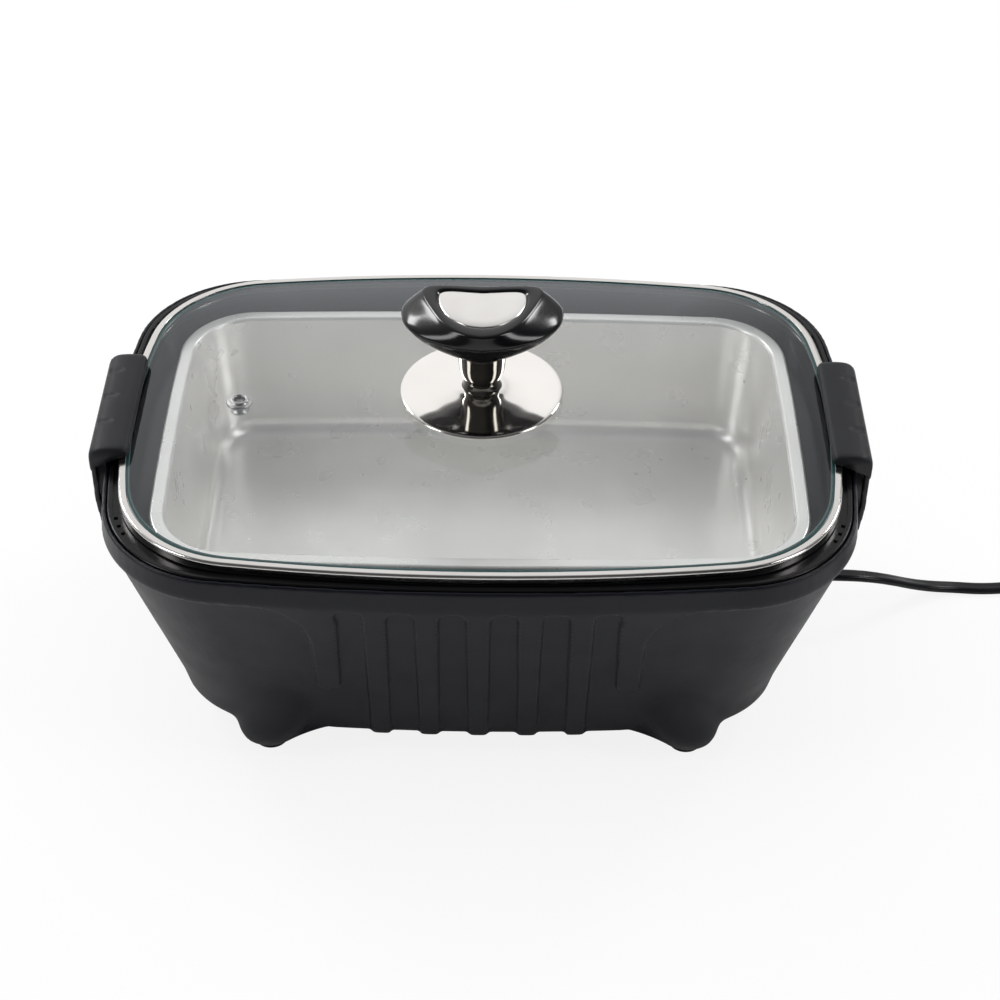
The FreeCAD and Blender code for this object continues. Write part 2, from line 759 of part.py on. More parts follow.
def lead_bush():
    """Insulating bush where the leads pass the heat shield."""
    top = board_bottom + 1.5
    tube = cylinder(bush_radius, top - shield_bottom + 2.5, bush_x, 0, shield_bottom - 2.5)
    flange = cylinder(bush_flange, 1.5, bush_x, 0, board_bottom)
    bore = cylinder(bush_radius - bush_wall, 20, bush_x, 0, shield_bottom - 6)
    return tube.fuse(flange).cut(bore)


def turned_route(points, name=None):
    """Straight runs joined by tangent arcs, each as large as its two runs allow."""
    points = [V(*p) for p in points]
    edges, radii, here = [], [], points[0]
    for before, corner, after in zip(points, points[1:], points[2:]):
        run_in, run_out = corner - before, after - corner
        half_turn = run_in.getAngle(run_out) / 2
        reach = 0.45 * min(run_in.Length, run_out.Length)
        radius = reach / math.tan(half_turn)
        first = corner - V(run_in).normalize() * reach
        last = corner + V(run_out).normalize() * reach
        towards = ((first + last) * 0.5 - corner).normalize()
        middle = corner + towards * (radius / math.cos(half_turn) - radius)
        edges += [Part.makeLine(here, first), Part.Arc(first, middle, last).toShape()]
        radii.append(radius)
        here = last
    edges.append(Part.makeLine(here, points[-1]))
    if name:
        print(name, "arc radii", " ".join("%.0f" % r for r in radii))
    return Part.Wire(edges)


def tube(route, radius, name):
    """Round tube along a route; its volume is compared with its section times its length."""
    start = route.Edges[0].valueAt(route.Edges[0].FirstParameter)
    direction = route.Edges[0].tangentAt(route.Edges[0].FirstParameter)
    ring = Part.Wire(Part.makeCircle(radius, start, direction))
    solid = route.makePipeShell([ring], True, False)
    plain = math.pi * radius ** 2 * route.Length
    print(name, "length %.1f volume share %.4f" % (route.Length, solid.Volume / plain))
    return solid


def internal_lead(side, name):
    """Lead from the terminal block through the bush to one end of the heater."""
    pin_x = element_right + pin_length
    pin_z = pan_bottom - element_gap - element_radius
    port_x = terminal_x + terminal_size[0] / 2
    port_z = floor_top + terminal_size[2] / 2
    port_y = terminal_y + side * terminal_pitch / 2
    apart = side * lead_apart
    pair = side * lead_pair
    points = [(port_x - lead_depth, port_y, port_z), (port_x + lead_turn + apart, port_y, port_z),
              (bush_x + lead_turn_back + apart, port_y * 0.55, port_z),
              (bush_x + pair, pair, board_bottom - lead_below),
              (bush_x, pair, board_bottom + lead_above),
              (bush_x + lead_apart, side * element_half_y * lead_fan[0], pin_z - 1.0),
              (pin_x + lead_loop, side * element_half_y * lead_fan[1], pin_z),
              (pin_x + lead_turn_back, side * element_half_y, pin_z),
              (pin_x, side * element_half_y, pin_z)]
    return tube(turned_route(points), lead_radius, name)


def cord_clip():
    """Bridge on the tub floor that grips the boot behind the wall."""
    x0 = boot_face() - boot_inside + 2.0
    x1 = x0 + clip_width
    top = cord_exit_z + boot_root + clip_thickness
    half = boot_root + clip_thickness + 1.0
    body = block(x0, x1, cord_y - half, cord_y + half, floor_top, top)
    bore = cylinder(boot_root + running_gap, 20, x0 - 5, cord_y, cord_exit_z, X_AXIS)
    return body.cut(bore)


def strain_relief():
    """Tapered boot around the lead, with a collar outside the wall."""
    collar_x = boot_face() + boot_collar_off
    inside = cylinder(boot_root, boot_inside + boot_collar_off, boot_face() - boot_inside,
                      cord_y, cord_exit_z, X_AXIS)
    collar = cylinder(boot_collar, boot_collar_thickness, collar_x, cord_y, cord_exit_z, X_AXIS)
    cone = Part.makeCone(boot_root, boot_tip, boot_length - boot_collar_thickness,
                         V(collar_x + boot_collar_thickness, cord_y, cord_exit_z), X_AXIS)
    return fuse([inside, collar, cone])


def base_cover():
    plate = rounded_plate(cover_x, cover_y, cover_corner, tub_bottom - cover_thickness, tub_bottom)
    cuts = []
    for i in range(vent_slots):
        x = (i - (vent_slots - 1) / 2) * vent_slot_pitch
        cuts.append(block(x - vent_slot_width / 2, x + vent_slot_width / 2, -vent_slot_length / 2,
                          vent_slot_length / 2, 0, tub_bottom + 1))
    for x, y in cover_screw_places():
        cuts.append(cylinder(screw_radius + running_gap, 10, x, y, tub_bottom - 5))
    return plate.cut(Part.makeCompound(cuts))


def cover_screws():
    face = tub_bottom - cover_thickness
    return Part.makeCompound([screw(x, y, face, cover_thickness + tub_floor + 2.0)
                              for x, y in cover_screw_places()])


def latch_arm():
    """Right-hand arm: barrel, bent strip and hook over the lid rim."""
    outer = [(pivot_x + out, pivot_z + up) for up, out in arm_line] + [(arm_face, hook_top)]
    inner = [(x - arm_metal, z) for x, z in outer[:-1]]
    points = outer + [(hook_tip, hook_top), (hook_tip, hook_bottom),
                      (arm_face - arm_metal, hook_bottom)] + inner[::-1]
    points = [V(x, 0, z) for x, z in points]
    side_view = Part.Face(Part.makePolygon(points + points[:1]))
    strip = side_view.extrude(V(0, 2 * arm_top_half, 0))
    strip.translate(V(0, -arm_top_half, 0))
    taper = Part.Face(Part.makePolygon([
        V(0, -arm_low_half, pivot_z - barrel_radius), V(0, -arm_top_half, arm_wide_z),
        V(0, -arm_top_half, hook_top), V(0, arm_top_half, hook_top),
        V(0, arm_top_half, arm_wide_z), V(0, arm_low_half, pivot_z - barrel_radius),
        V(0, -arm_low_half, pivot_z - barrel_radius)])).extrude(V(2 * arm_face, 0, 0))
    strip = strip.common(taper)
    clear_top = pivot_z + barrel_radius + ear_gap
    for y0, y1 in ((-arm_top_half, -barrel_half), (barrel_half, arm_top_half)):
        strip = strip.cut(block(pivot_x - barrel_radius, arm_face, y0, y1, 0, clear_top))
    barrel = cylinder(barrel_radius, 2 * barrel_half, pivot_x, -barrel_half, pivot_z, Y_AXIS)
    web = block(pivot_x, pivot_x + barrel_radius, -barrel_half, barrel_half, pivot_z,
                pivot_z + barrel_radius)
    shape = fuse([strip, barrel, web.common(strip.fuse(barrel))])
    bore = cylinder(hinge_pin_radius + running_gap, 2 * barrel_half + 2, pivot_x,
                    -barrel_half - 1, pivot_z, Y_AXIS)
    return shape.cut(bore)


def latch_grip():
    """Right-hand soft grip over the hook, with three finger dents on its outer edge."""
    low = hook_bottom - grip_skirt
    x0, x1 = hook_tip - 1.0, arm_face + grip_thickness * 0.4
    shape = block(x0, x1, -grip_half, grip_half, low, hook_top + grip_thickness)
    long_edges = [e for e in shape.Edges if e.BoundBox.YLength > grip_half
                  and e.BoundBox.ZMin > hook_top]
    shape = shape.makeFillet(grip_round, long_edges)
    ends = [e for e in shape.Edges if e.BoundBox.YLength < 0.01 and e.BoundBox.ZLength > grip_skirt]
    shape = shape.makeFillet(grip_round, ends)
    under = block(x0 - 1, arm_face - arm_metal, -grip_half - 1, grip_half + 1, low - 1, hook_bottom)
    cuts = [under, latch_arm()]
    for k in (-1, 0, 1):
        dent = cylinder(dent_radius, 9.0, x1 - 6.0, k * dent_pitch,
                        hook_top + grip_thickness + dent_radius - 1.0, X_AXIS)
        cuts.append(dent)
    shape = shape.cut(Part.makeCompound(cuts))
    return max(shape.Solids, key=lambda s: s.Volume)


def hinge_pin():
    """Right-hand hinge pin with a small head at its front end."""
    half = barrel_half + ear_gap + ear_thickness
    shaft = cylinder(hinge_pin_radius, 2 * half + 1.0, pivot_x, -half, pivot_z, Y_AXIS)
    head = cylinder(pin_head, 1.2, pivot_x, -half - 1.2, pivot_z, Y_AXIS)
    return shaft.fuse(head)


def lid_outline(inset, z):
    """Outline of the lid drawn inwards, its corners shrinking with it."""
    share = (lid_half_y - inset) / lid_half_y
    side = (lid_half_y ** 2 + lid_bow_x ** 2) / (2 * lid_bow_x)
    back = (lid_half_x ** 2 + lid_bow_y ** 2) / (2 * lid_bow_y)
    half_x, half_y = lid_half_x - inset, lid_half_y - inset
    bow_x = side - math.sqrt(side ** 2 - half_y ** 2)
    bow_y = back - math.sqrt(back ** 2 - half_x ** 2)
    return outline((half_x, half_y, bow_x, bow_y, lid_corner * share), 0.0, z)


def crown_solid(drop):
    wires = [lid_outline(inset, glass_edge + rise - drop) for inset, rise in crown]
    return Part.makeLoft(wires, True, False)


def lid_glass():
    """Crowned toughened glass with holes for the knob bolt and the steam vent."""
    skirt = Part.Face(lid_outline(glass_inset, glass_edge - glass_thickness + 0.05)).extrude(
        V(0, 0, glass_thickness - 0.05))
    shape = fuse([crown_solid(0.0), skirt]).cut(crown_solid(glass_thickness))
    holes = [cylinder(knob_bolt + 1.0, 60, 0, 0, glass_edge - 20), vent_envelope()]
    return shape.cut(Part.makeCompound(holes))


def vent_height():
    """Height of the glass face over the steam vent, from the crown's rise at that inset."""
    inset = lid_half_x - abs(vent_x)
    for (inset_0, rise_0), (inset_1, rise_1) in zip(crown, crown[1:]):
        if inset_0 <= inset <= inset_1:
            share = (inset - inset_0) / (inset_1 - inset_0)
            return glass_edge + rise_0 + (rise_1 - rise_0) * share
    return glass_top


def vent_envelope():
    """Space in the glass that the vent takes: its tube and its two seats."""
    top = vent_height()
    tube_hole = cylinder(vent_radius + running_gap, 20, vent_x, vent_y, top - 12)
    upper = cylinder(vent_flange + running_gap, 10, vent_x, vent_y, top - 0.5)
    lower = cylinder(vent_flange + running_gap, 10, vent_x, vent_y,
                     top - glass_thickness + 0.5 - 10)
    return fuse([tube_hole, upper, lower])


def steam_vent():
    """Metal eyelet through the glass."""
    top = vent_height() - 0.5
    low = top - glass_thickness + 1.0
    stem = cylinder(vent_radius, top - low, vent_x, vent_y, low)
    upper = cylinder(vent_flange, vent_flange_thickness, vent_x, vent_y, top)
    upper = upper.makeFillet(0.45, [e for e in upper.Edges
                                    if abs(e.BoundBox.ZMin - top - vent_flange_thickness) < 0.01])
    lower = cylinder(vent_flange, vent_flange_thickness, vent_x, vent_y,
                     low - vent_flange_thickness)
    bore = cylinder(vent_bore, 20, vent_x, vent_y, low - 8)
    return fuse([stem, upper, lower]).cut(bore)


def lid_rim():
    """Bright metal channel rolled around the glass edge."""
    bar = prism(lid, 0.0, lid_seat, rim_top)
    bar = bar.makeFillet(1.1, edges_at(bar, rim_top) + edges_at(bar, lid_seat))
    inner = prism(lid, -rim_flange, lid_seat - 1, rim_top + 1)
    channel = prism(lid, -rim_metal, lid_seat + rim_metal, rim_top - rim_metal)
    return bar.cut(Part.makeCompound([inner, channel]))


def rim_seal():
    """Silicone strip between the glass edge and the channel."""
    low, high = lid_seat + rim_metal, glass_edge
    ring = prism(lid, -rim_metal, low, high)
    return ring.cut(Part.Face(lid_outline(glass_inset, low - 1)).extrude(V(0, 0, 10)))


def knob_washer():
    ring = cylinder(washer_radius, washer_thickness, 0, 0, glass_top)
    return ring.cut(cylinder(knob_bolt + running_gap, 10, 0, 0, glass_top - 2))


def bolt_washer():
    ring = cylinder(washer_radius, washer_thickness, 0, 0, glass_under - washer_thickness)
    return ring.cut(cylinder(knob_bolt + running_gap, 10, 0, 0, glass_under - 5))


def knob_screw():
    face = glass_under - washer_thickness
    top = knob_seat + knob_waist_height + knob_neck_height + 8.0
    head = cylinder(bolt_head, bolt_head_height, 0, 0, face - bolt_head_height)
    head = head.makeFillet(1.2, edges_at(head, face - bolt_head_height))
    return head.fuse(cylinder(knob_bolt, top - face, 0, 0, face))


def knob_base():
    """Polished disc that sweeps up to the waist of the knob."""
    low = knob_seat
    top = low + knob_waist_height
    profile = [(knob_bolt + running_gap, low), (knob_disc, low), (knob_disc, low + knob_disc_edge),
               (knob_disc - 1.2, low + knob_disc_edge + 0.25), (24.0, low + 1.9),
               (16.0, low + 2.2), (11.0, low + 2.8), (8.6, low + 3.5), (knob_waist, top),
               (knob_bolt + running_gap, top)]
    return revolved(profile)


def knob_neck():
    """Flared metal neck between base and handle."""
    low = knob_seat + knob_waist_height
    span = knob_neck_height
    profile = [(knob_bolt + running_gap, low), (knob_waist, low)]
    steps = 6
    for k in range(1, steps + 1):
        share = k / steps
        radius = knob_waist + (knob_neck_top - knob_waist) * share ** 0.8
        profile.append((radius, low + span * share))
    profile.append((knob_bolt + running_gap, low + span))
    return revolved(profile)


def handle_outline(share, z):
    """Plan of the handle: nearly straight back, round front, as five arcs."""
    def at(x, y):
        return V(x * share * handle_half_x, y * share * handle_half_y, z)

    back, back_mid, back_left = at(0.72, 0.97), at(0, 0.94), at(-0.72, 0.97)
    cheek, wide, nose_mid = at(0.952, 0.62), at(1, 0.14), at(0.707, -0.685)
    cheek_left, wide_left, nose_mid_left = at(-0.952, 0.62), at(-1, 0.14), at(-0.707, -0.685)
    nose = at(0, -1.03)
    return Part.Wire([Part.Arc(back_left, back_mid, back).toShape(),
                      Part.Arc(back, cheek, wide).toShape(),
                      Part.Arc(wide, nose_mid, nose).toShape(),
                      Part.Arc(nose, nose_mid_left, wide_left).toShape(),
                      Part.Arc(wide_left, cheek_left, back_left).toShape()])


def knob_handle():
    foot = knob_seat + knob_waist_height + knob_neck_height
    wires = [handle_outline(share, foot + height) for height, share in handle_sections]
    shape = Part.makeLoft(wires, True, False)
    top = foot + handle_sections[-1][0]
    pocket = Part.Face(handle_outline(inlay_share, top - inlay_thickness)).extrude(V(0, 0, 5))
    hole = cylinder(knob_bolt + running_gap, 8.5, 0, 0, foot - 0.5)
    return shape.cut(Part.makeCompound([pocket, hole]))


def knob_inlay():
    foot = knob_seat + knob_waist_height + knob_neck_height
    top = foot + handle_sections[-1][0]
    share = inlay_share - 0.2 / handle_half_x
    return Part.Face(handle_outline(share, top - inlay_thickness)).extrude(
        V(0, 0, inlay_thickness + 0.2))


# Route of the lead's free stretch, chosen by hand: out of the boot, down to the table, along it
def cord_points():
    start = boot_face() + boot_collar_off + boot_length
    return [(start, cord_y, cord_exit_z), (164.0, cord_y, cord_exit_z), (175.0, 10.6, 20.9),
            (186.0, 14.6, 15.9), (196.5, 19.4, 9.9), (207.0, 23.6, 5.6), (218.0, 25.8, 3.5),
            (231.0, 25.0, cord_radius), (245.0, 26.3, cord_radius), (259.0, 31.0, 3.4),
            (274.0, 36.8, 3.8), (coil_entry_point()[0] - 10.0,) + coil_entry_point()[1:],
            coil_entry_point()]


def coil_entry_point():
    """Where the coil's tube begins: one diameter before its first half turn, at the back."""
    return (coil_x - cord_diameter, coil_y + coil_outer, coil_first_z)


def biarc(p, tangent_p, q, tangent_q):
    """Two arcs that join two points with given directions."""
    chord = q - p
    turn = 2 * (1 - tangent_p.dot(tangent_q))
    both = tangent_p + tangent_q
    reach = (-chord.dot(both) + math.sqrt(chord.dot(both) ** 2 + turn * chord.dot(chord))) / turn
    joint = (p + q + (tangent_p - tangent_q) * reach) * 0.5
    arcs = []
    for start, direction, end in ((p, tangent_p, joint), (q, tangent_q * -1, joint)):
        across = end - start
        inward = (across - direction * across.dot(direction)).normalize()
        radius = across.dot(across) / (2 * across.dot(inward))
        centre = start + inward * radius
        middle = centre + ((start + end) * 0.5 - centre).normalize() * radius
        arcs.append((start, middle, end))
    (a, b, c), (d, e, f) = arcs
    return [Part.Arc(a, b, c).toShape(), Part.Arc(f, e, d).toShape()]


def coil_route():
    """Half turns that spiral in on the table, climb a layer and spiral out again."""
    radius = coil_outer
    here = V(coil_x, coil_y + radius, coil_first_z)
    edges = [Part.makeLine(V(*coil_entry_point()), here)]
    side, direction = 1, V(1, 0, 0)
    halves = 2 * layer_turns
    steps = [-coil_pitch / 2] * (halves - 1) + [0.0] + [coil_pitch / 2] * halves
    for k, step in enumerate(steps):
        rise = coil_pitch if k == halves - 1 else 0.0
        span = 2 * radius + step
        there = V(coil_x, here.y - side * span, here.z + rise)
        edges += biarc(here, direction, there, direction * -1)
        here, direction, side = there, direction * -1, -side
        radius += step
    edges.append(Part.makeLine(here, here + direction * cord_diameter))
    return Part.Wire(edges), here + direction * cord_diameter, direction


def least_self_gap(route):
    """Least distance between stretches of the coil that lie half a turn or more apart."""
    count = 400
    points = route.discretize(count)
    apart = int(count * coil_mean_radius * 2 / route.Length)
    least = min((points[i] - points[j]).Length for i in range(0, count, 2)
                for j in range(i + apart, count, 2))
    print("cord_coil least gap to itself %.2f" % (least - cord_diameter))


def cord():
    return tube(turned_route(cord_points(), "cord"), cord_radius, "cord")


def cord_coil():
    route = coil_route()[0]
    least_self_gap(route)
    return tube(route, cord_radius, "cord_coil")


def coil_tie():
    """Band around the bundle at the coil's right-hand side."""
    outer = coil_outer - coil_pitch / 4 + cord_radius + tie_gap
    inner = coil_outer - coil_pitch * (layer_turns - 0.75) - cord_radius - tie_inner_gap
    top = coil_first_z + coil_pitch + cord_radius + tie_gap
    low = coil_first_z - cord_radius - tie_gap
    x0, x1 = coil_x + inner, coil_x + outer
    half = tie_width / 2
    t = tie_thickness
    band = block(x0 - t, x1 + t, coil_y - half, coil_y + half, low - t, top + t)
    return band.cut(block(x0, x1, coil_y - half - 1, coil_y + half + 1, low, top))


def along_plug(shape):
    """Places a plug piece drawn along +X from its cable end onto the coil's loose end."""
    end, direction = coil_route()[1:]
    turn = math.degrees(math.atan2(direction.y, direction.x))
    shape.rotate(V(0, 0, 0), Z_AXIS, turn)
    shape.translate(end)
    return shape


def plug_boot():
    cone = Part.makeCone(boot_tip, boot_root + 1.4, plug_boot_length, V(0, 0, 0), X_AXIS)
    return along_plug(cone)


def plug_body():
    """Moulded body of the accessory plug, with its narrower nose."""
    start = plug_boot_length
    rear = Part.makeCone(plug_radius - 2.6, plug_radius, 8.0, V(start, 0, 0), X_AXIS)
    grip = cylinder(plug_radius, plug_length - 8.0, start + 8.0, 0, 0, X_AXIS)
    nose_end = start + plug_length + plug_nose_length
    nose = cylinder(plug_nose, plug_nose_length, start + plug_length, 0, 0, X_AXIS)
    shape = fuse([rear, grip, nose])
    depth = fuse_tube_length + tip_length + 6.0
    bore = cylinder(plug_bore, depth, nose_end - depth, 0, 0, X_AXIS)
    slots = [block(start + plug_length + 4.0, start + plug_length + 4.0 + side_contact_length,
                   -side_contact_width / 2, side_contact_width / 2, plug_nose - 2.0, plug_nose + 1)]
    slots.append(mirrored(slots[0], Z_AXIS))
    for slot in slots:
        slot.rotate(V(0, 0, 0), X_AXIS, 90)
    return along_plug(shape.cut(Part.makeCompound([bore] + slots)))


def plug_cap():
    """Screwed cap that holds the tip contact in the nose."""
    start = plug_boot_length + plug_length + plug_nose_length
    cap = Part.makeCone(plug_nose, plug_nose - 2.2, plug_cap_length, V(start, 0, 0), X_AXIS)
    wide = cylinder(tip_radius + 1.1, plug_cap_length - plug_cap_lip, start - 1, 0, 0, X_AXIS)
    small = cylinder(tip_radius - 1.0 + running_gap, 20, start - 1, 0, 0, X_AXIS)
    return along_plug(cap.cut(wide.fuse(small)))


def plug_tip():
    """Centre contact: a headed pin that slides against its spring."""
    start = plug_boot_length + plug_length + plug_nose_length
    face = start + plug_cap_length - plug_cap_lip - 0.2
    head = cylinder(tip_radius, 3.0, face - 4.0, 0, 0, X_AXIS)
    pin = cylinder(tip_radius - 1.0, plug_cap_lip + tip_length, face - 1.0, 0, 0, X_AXIS)
    round_end = [e for e in pin.Edges if abs(e.BoundBox.XMin - face - plug_cap_lip - tip_length
                                             + 1.0) < 0.01]
    pin = pin.makeFillet(2.0, round_end)
    return along_plug(fuse([head, pin]))


def spring_places():
    start = plug_boot_length + plug_length + plug_nose_length
    back = start + plug_cap_length - plug_cap_lip - 0.2 - 4.0
    front_of_fuse = start - tip_length + 1.0
    return front_of_fuse, back


def plug_spring():
    """Coil spring behind the tip contact."""
    front_of_fuse, back = spring_places()
    wire_radius, turns, coil = 0.35, 4, tip_radius - 0.9
    length = back - front_of_fuse - 2 * wire_radius - 0.1
    helix = Part.makeHelix(length / turns, length, coil)
    ring = Part.Wire(Part.makeCircle(wire_radius, V(coil, 0, 0), Y_AXIS))
    spring = Part.Wire(helix.Edges).makePipeShell([ring], True, True)
    spring.rotate(V(0, 0, 0), Y_AXIS, 90)
    spring.translate(V(front_of_fuse + wire_radius + 0.05, 0, 0))
    return along_plug(spring)


def plug_fuse():
    """Glass tube fuse with its two end caps, behind the spring."""
    front_of_fuse, back = spring_places()
    tube_body = cylinder(fuse_tube_radius - 0.3, fuse_tube_length, front_of_fuse - fuse_tube_length,
                         0, 0, X_AXIS)
    caps = [cylinder(fuse_tube_radius, 5.5, x, 0, 0, X_AXIS)
            for x in (front_of_fuse - fuse_tube_length, front_of_fuse - 5.5)]
    return along_plug(fuse([tube_body] + caps))


def plug_side_contacts():
    """Two sprung side contacts in the slots of the nose."""
    start = plug_boot_length + plug_length + 4.0
    low, high = plug_nose - 2.0, plug_nose + side_contact_rise
    half = side_contact_width / 2 - 0.15
    points = [V(start + 0.2, 0, low), V(start + 4.0, 0, high - 0.3),
              V(start + side_contact_length / 2, 0, high),
              V(start + side_contact_length - 4.0, 0, high - 0.3),
              V(start + side_contact_length - 0.2, 0, low), V(start + 0.2, 0, low)]
    leaf = Part.Face(Part.makePolygon(points)).extrude(V(0, 2 * half, 0))
    leaf.translate(V(0, -half, 0))
    leaves = [leaf, mirrored(leaf, Z_AXIS)]
    for piece in leaves:
        piece.rotate(V(0, 0, 0), X_AXIS, 90)
    return Part.makeCompound([along_plug(piece) for piece in leaves])


def save(name, shape):
    solids = shape.Solids
    shape = solids[0] if len(solids) == 1 else Part.makeCompound(solids)
    shape.exportStep("parts/%s.step" % name)
    sound = all(s.isValid() for s in solids)
    print("%-20s solids %2d  volume %10.1f  valid %s" % (name, len(solids), shape.Volume, sound))


def main():
    os.makedirs("parts", exist_ok=True)
    arm, grip, pin = latch_arm(), latch_grip(), hinge_pin()
    nodes = {
        "housing": housing(), "foot_pads": foot_pads(), "top_bezel": top_bezel(),
        "cooking_pan": cooking_pan(), "heat_shield": heat_shield(),
        "shield_screws": shield_screws(), "post_screws": post_screws(),
        "insulation_board": insulation_board(), "heating_element": heating_element(),
        "element_clamp": element_clamp(), "clamp_studs": clamp_studs(),
        "thermostat": thermostat(), "thermal_fuse": thermal_fuse(),
        "terminal_block": terminal_block(), "lead_bush": lead_bush(),
        "internal_lead_plus": internal_lead(1, "internal_lead_plus"),
        "internal_lead_minus": internal_lead(-1, "internal_lead_minus"),
        "cord_clip": cord_clip(), "base_cover": base_cover(), "cover_screws": cover_screws(),
        "latch_arm_right": arm, "latch_arm_left": mirrored(arm, X_AXIS),
        "latch_grip_right": grip, "latch_grip_left": mirrored(grip, X_AXIS),
        "hinge_pin_right": pin, "hinge_pin_left": mirrored(pin, X_AXIS),
        "lid_glass": lid_glass(), "lid_rim": lid_rim(), "rim_seal": rim_seal(),
        "steam_vent": steam_vent(), "knob_washer": knob_washer(), "bolt_washer": bolt_washer(),
        "knob_screw": knob_screw(), "knob_base": knob_base(), "knob_neck": knob_neck(),
        "knob_handle": knob_handle(), "knob_inlay": knob_inlay(),
        "strain_relief": strain_relief(), "cord": cord(), "cord_coil": cord_coil(),
        "coil_tie": coil_tie(), "plug_boot": plug_boot(), "plug_body": plug_body(),
        "plug_cap": plug_cap(), "plug_tip": plug_tip(), "plug_spring": plug_spring(),
        "plug_fuse": plug_fuse(), "plug_side_contacts": plug_side_contacts(),
    }
    for name, shape in nodes.items():
        save(name, shape)


main()
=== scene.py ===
import math

import bmesh
import bpy
import numpy as np
from mathutils import Matrix, Vector


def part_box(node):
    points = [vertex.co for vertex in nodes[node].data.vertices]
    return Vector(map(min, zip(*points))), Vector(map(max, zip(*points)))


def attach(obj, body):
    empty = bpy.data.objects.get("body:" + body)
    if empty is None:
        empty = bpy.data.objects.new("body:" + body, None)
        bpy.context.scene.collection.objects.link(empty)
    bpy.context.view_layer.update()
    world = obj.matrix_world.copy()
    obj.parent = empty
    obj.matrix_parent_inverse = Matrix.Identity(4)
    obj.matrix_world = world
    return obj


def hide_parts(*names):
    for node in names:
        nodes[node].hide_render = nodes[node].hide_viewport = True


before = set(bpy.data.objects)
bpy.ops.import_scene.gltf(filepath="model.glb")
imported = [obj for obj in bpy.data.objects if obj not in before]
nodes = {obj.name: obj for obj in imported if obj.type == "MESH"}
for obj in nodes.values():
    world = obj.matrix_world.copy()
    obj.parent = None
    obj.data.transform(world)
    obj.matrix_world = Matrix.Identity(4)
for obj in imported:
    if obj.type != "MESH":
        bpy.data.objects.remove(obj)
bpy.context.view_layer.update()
MM = 0.001

# Camera, found from the photographed outlines: place, turn, downward pitch, roll and lens
CAMERA_AT = (0.00594, -0.77299, 0.69599)
CAMERA_YAW = 0.0029
CAMERA_PITCH = 0.6795
CAMERA_ROLL = 0.0129
CAMERA_LENS = 82.47
SENSOR = 36.0

# Lid glass: half sizes, bows and corner radius of the rim's outline, its rise and its thickness
LID_HALF = (150.0 * MM, 105.8 * MM)
LID_BOW = (16.2 * MM, 14.3 * MM)
LID_CORNER = 53.0 * MM
RIM_FLANGE = 3.4 * MM
CROWN_RISE = 10.7 * MM
CROWN_INSET = 80.0 * MM
CROWN_POWER = 1.75
GLASS_THICK = 4.0 * MM

# Knob handle: its top above the foot, the neck's radius at the foot, and half plans from the
# back's middle to the front's middle, millimetres: inlay, edge of the flat top, widest outline
HANDLE_TOP = 18.5 * MM
NECK_TOP = 10.6 * MM
INLAY_PLAN = ((0, 14.2), (6, 14.8), (12, 15.4), (16, 15.2), (17.9, 13.6), (18.3, 9.5), (17.5, 4.0),
              (14.6, -2.6), (10.6, -7.0), (5.6, -10.2), (0, -11.3))
TOP_PLAN = ((0, 18.5), (8, 19.0), (16, 19.4), (21.5, 19.1), (24.2, 17.4), (25.0, 14.0), (23.9, 9.0),
            (21.2, 1.8), (17.2, -6.6), (12.3, -13.0), (6.4, -17.4), (0, -19.0))
WIDE_PLAN = ((0, 20.4), (12, 20.9), (22, 20.6), (28.5, 18.2), (32.2, 13.5), (33.4, 8.0), (31.8, -1.0),
             (26.8, -8.2), (19.4, -13.8), (10, -18.2), (0, -19.9))

# Latch: voxel of the softened arm, how far it spreads and how far its outer face stands out, the grip's
# half width, and the dents' places and depth
ARM_VOXEL = 0.8 * MM
ARM_WIDER = 3.4
ARM_FURTHER = 0.9
GRIP_HALF = 34.0 * MM
GRIP_DENTS = (-14.0 * MM, 4.0 * MM, 22.0 * MM)
DENT_DEPTH = 1.3 * MM

# Lead: width and thickness of the flat twin flex, and the coil of its unseen length
CORD_WIDTH = 6.4 * MM
CORD_THICK = 3.3 * MM
COIL_CENTRE = (0.304, -0.006)
COIL_MEAN = 36.0 * MM
COIL_PITCH = 8.05 * MM
COIL_FIRST_Z = 4.1 * MM
COIL_LAYER_TURNS = 3

# Moulding: voxel of the softened tub and how far its legs' blends are smoothed
TUB_VOXEL = 0.85 * MM
EDGE_ROUNDS = 5
BLEND_ROUNDS = 90

# Tub relief, millimetres: the front's half sizes, bow, lean and the raised pattern's outline
TUB_HALF = (155.4, 111.1)
TUB_BOW = 12.0
COLLAR_LOW = 105.0
BAND_LOW = 103.5
COLLAR_STEP = 0.6
WALL_SLOPE = 0.291
RELIEF = 1.6
RIB_PITCH = 20.36
RIB_HALF = (4.78, 4.0)
RIB_LOW = 12.0
ARCH = 98.7
FLUTE = 5.4
SHORT_RIB = (61.0, 5.6, 4.9, 50.4)
SHOULDER = 24.0
EDGE_HALF = 0.55
LEG_SWELL = 1.7

FLOOR_SIZE = 6.0


def camera():
    """Camera at the photograph's place and angle."""
    forward = Vector((math.sin(CAMERA_YAW) * math.cos(CAMERA_PITCH),
                      math.cos(CAMERA_YAW) * math.cos(CAMERA_PITCH), -math.sin(CAMERA_PITCH)))
    right = Vector((math.cos(CAMERA_YAW), -math.sin(CAMERA_YAW), 0))
    up = right.cross(forward)
    c, s = math.cos(CAMERA_ROLL), math.sin(CAMERA_ROLL)
    right, up = right * c + up * s, up * c - right * s
    data = bpy.data.cameras.new("photo_camera")
    data.lens, data.sensor_width = CAMERA_LENS, SENSOR
    obj = bpy.data.objects.new("photo_camera", data)
    bpy.context.scene.collection.objects.link(obj)
    turn = Matrix((right, up, -forward)).transposed().to_4x4()
    obj.matrix_world = Matrix.Translation(CAMERA_AT) @ turn
    bpy.context.scene.camera = obj


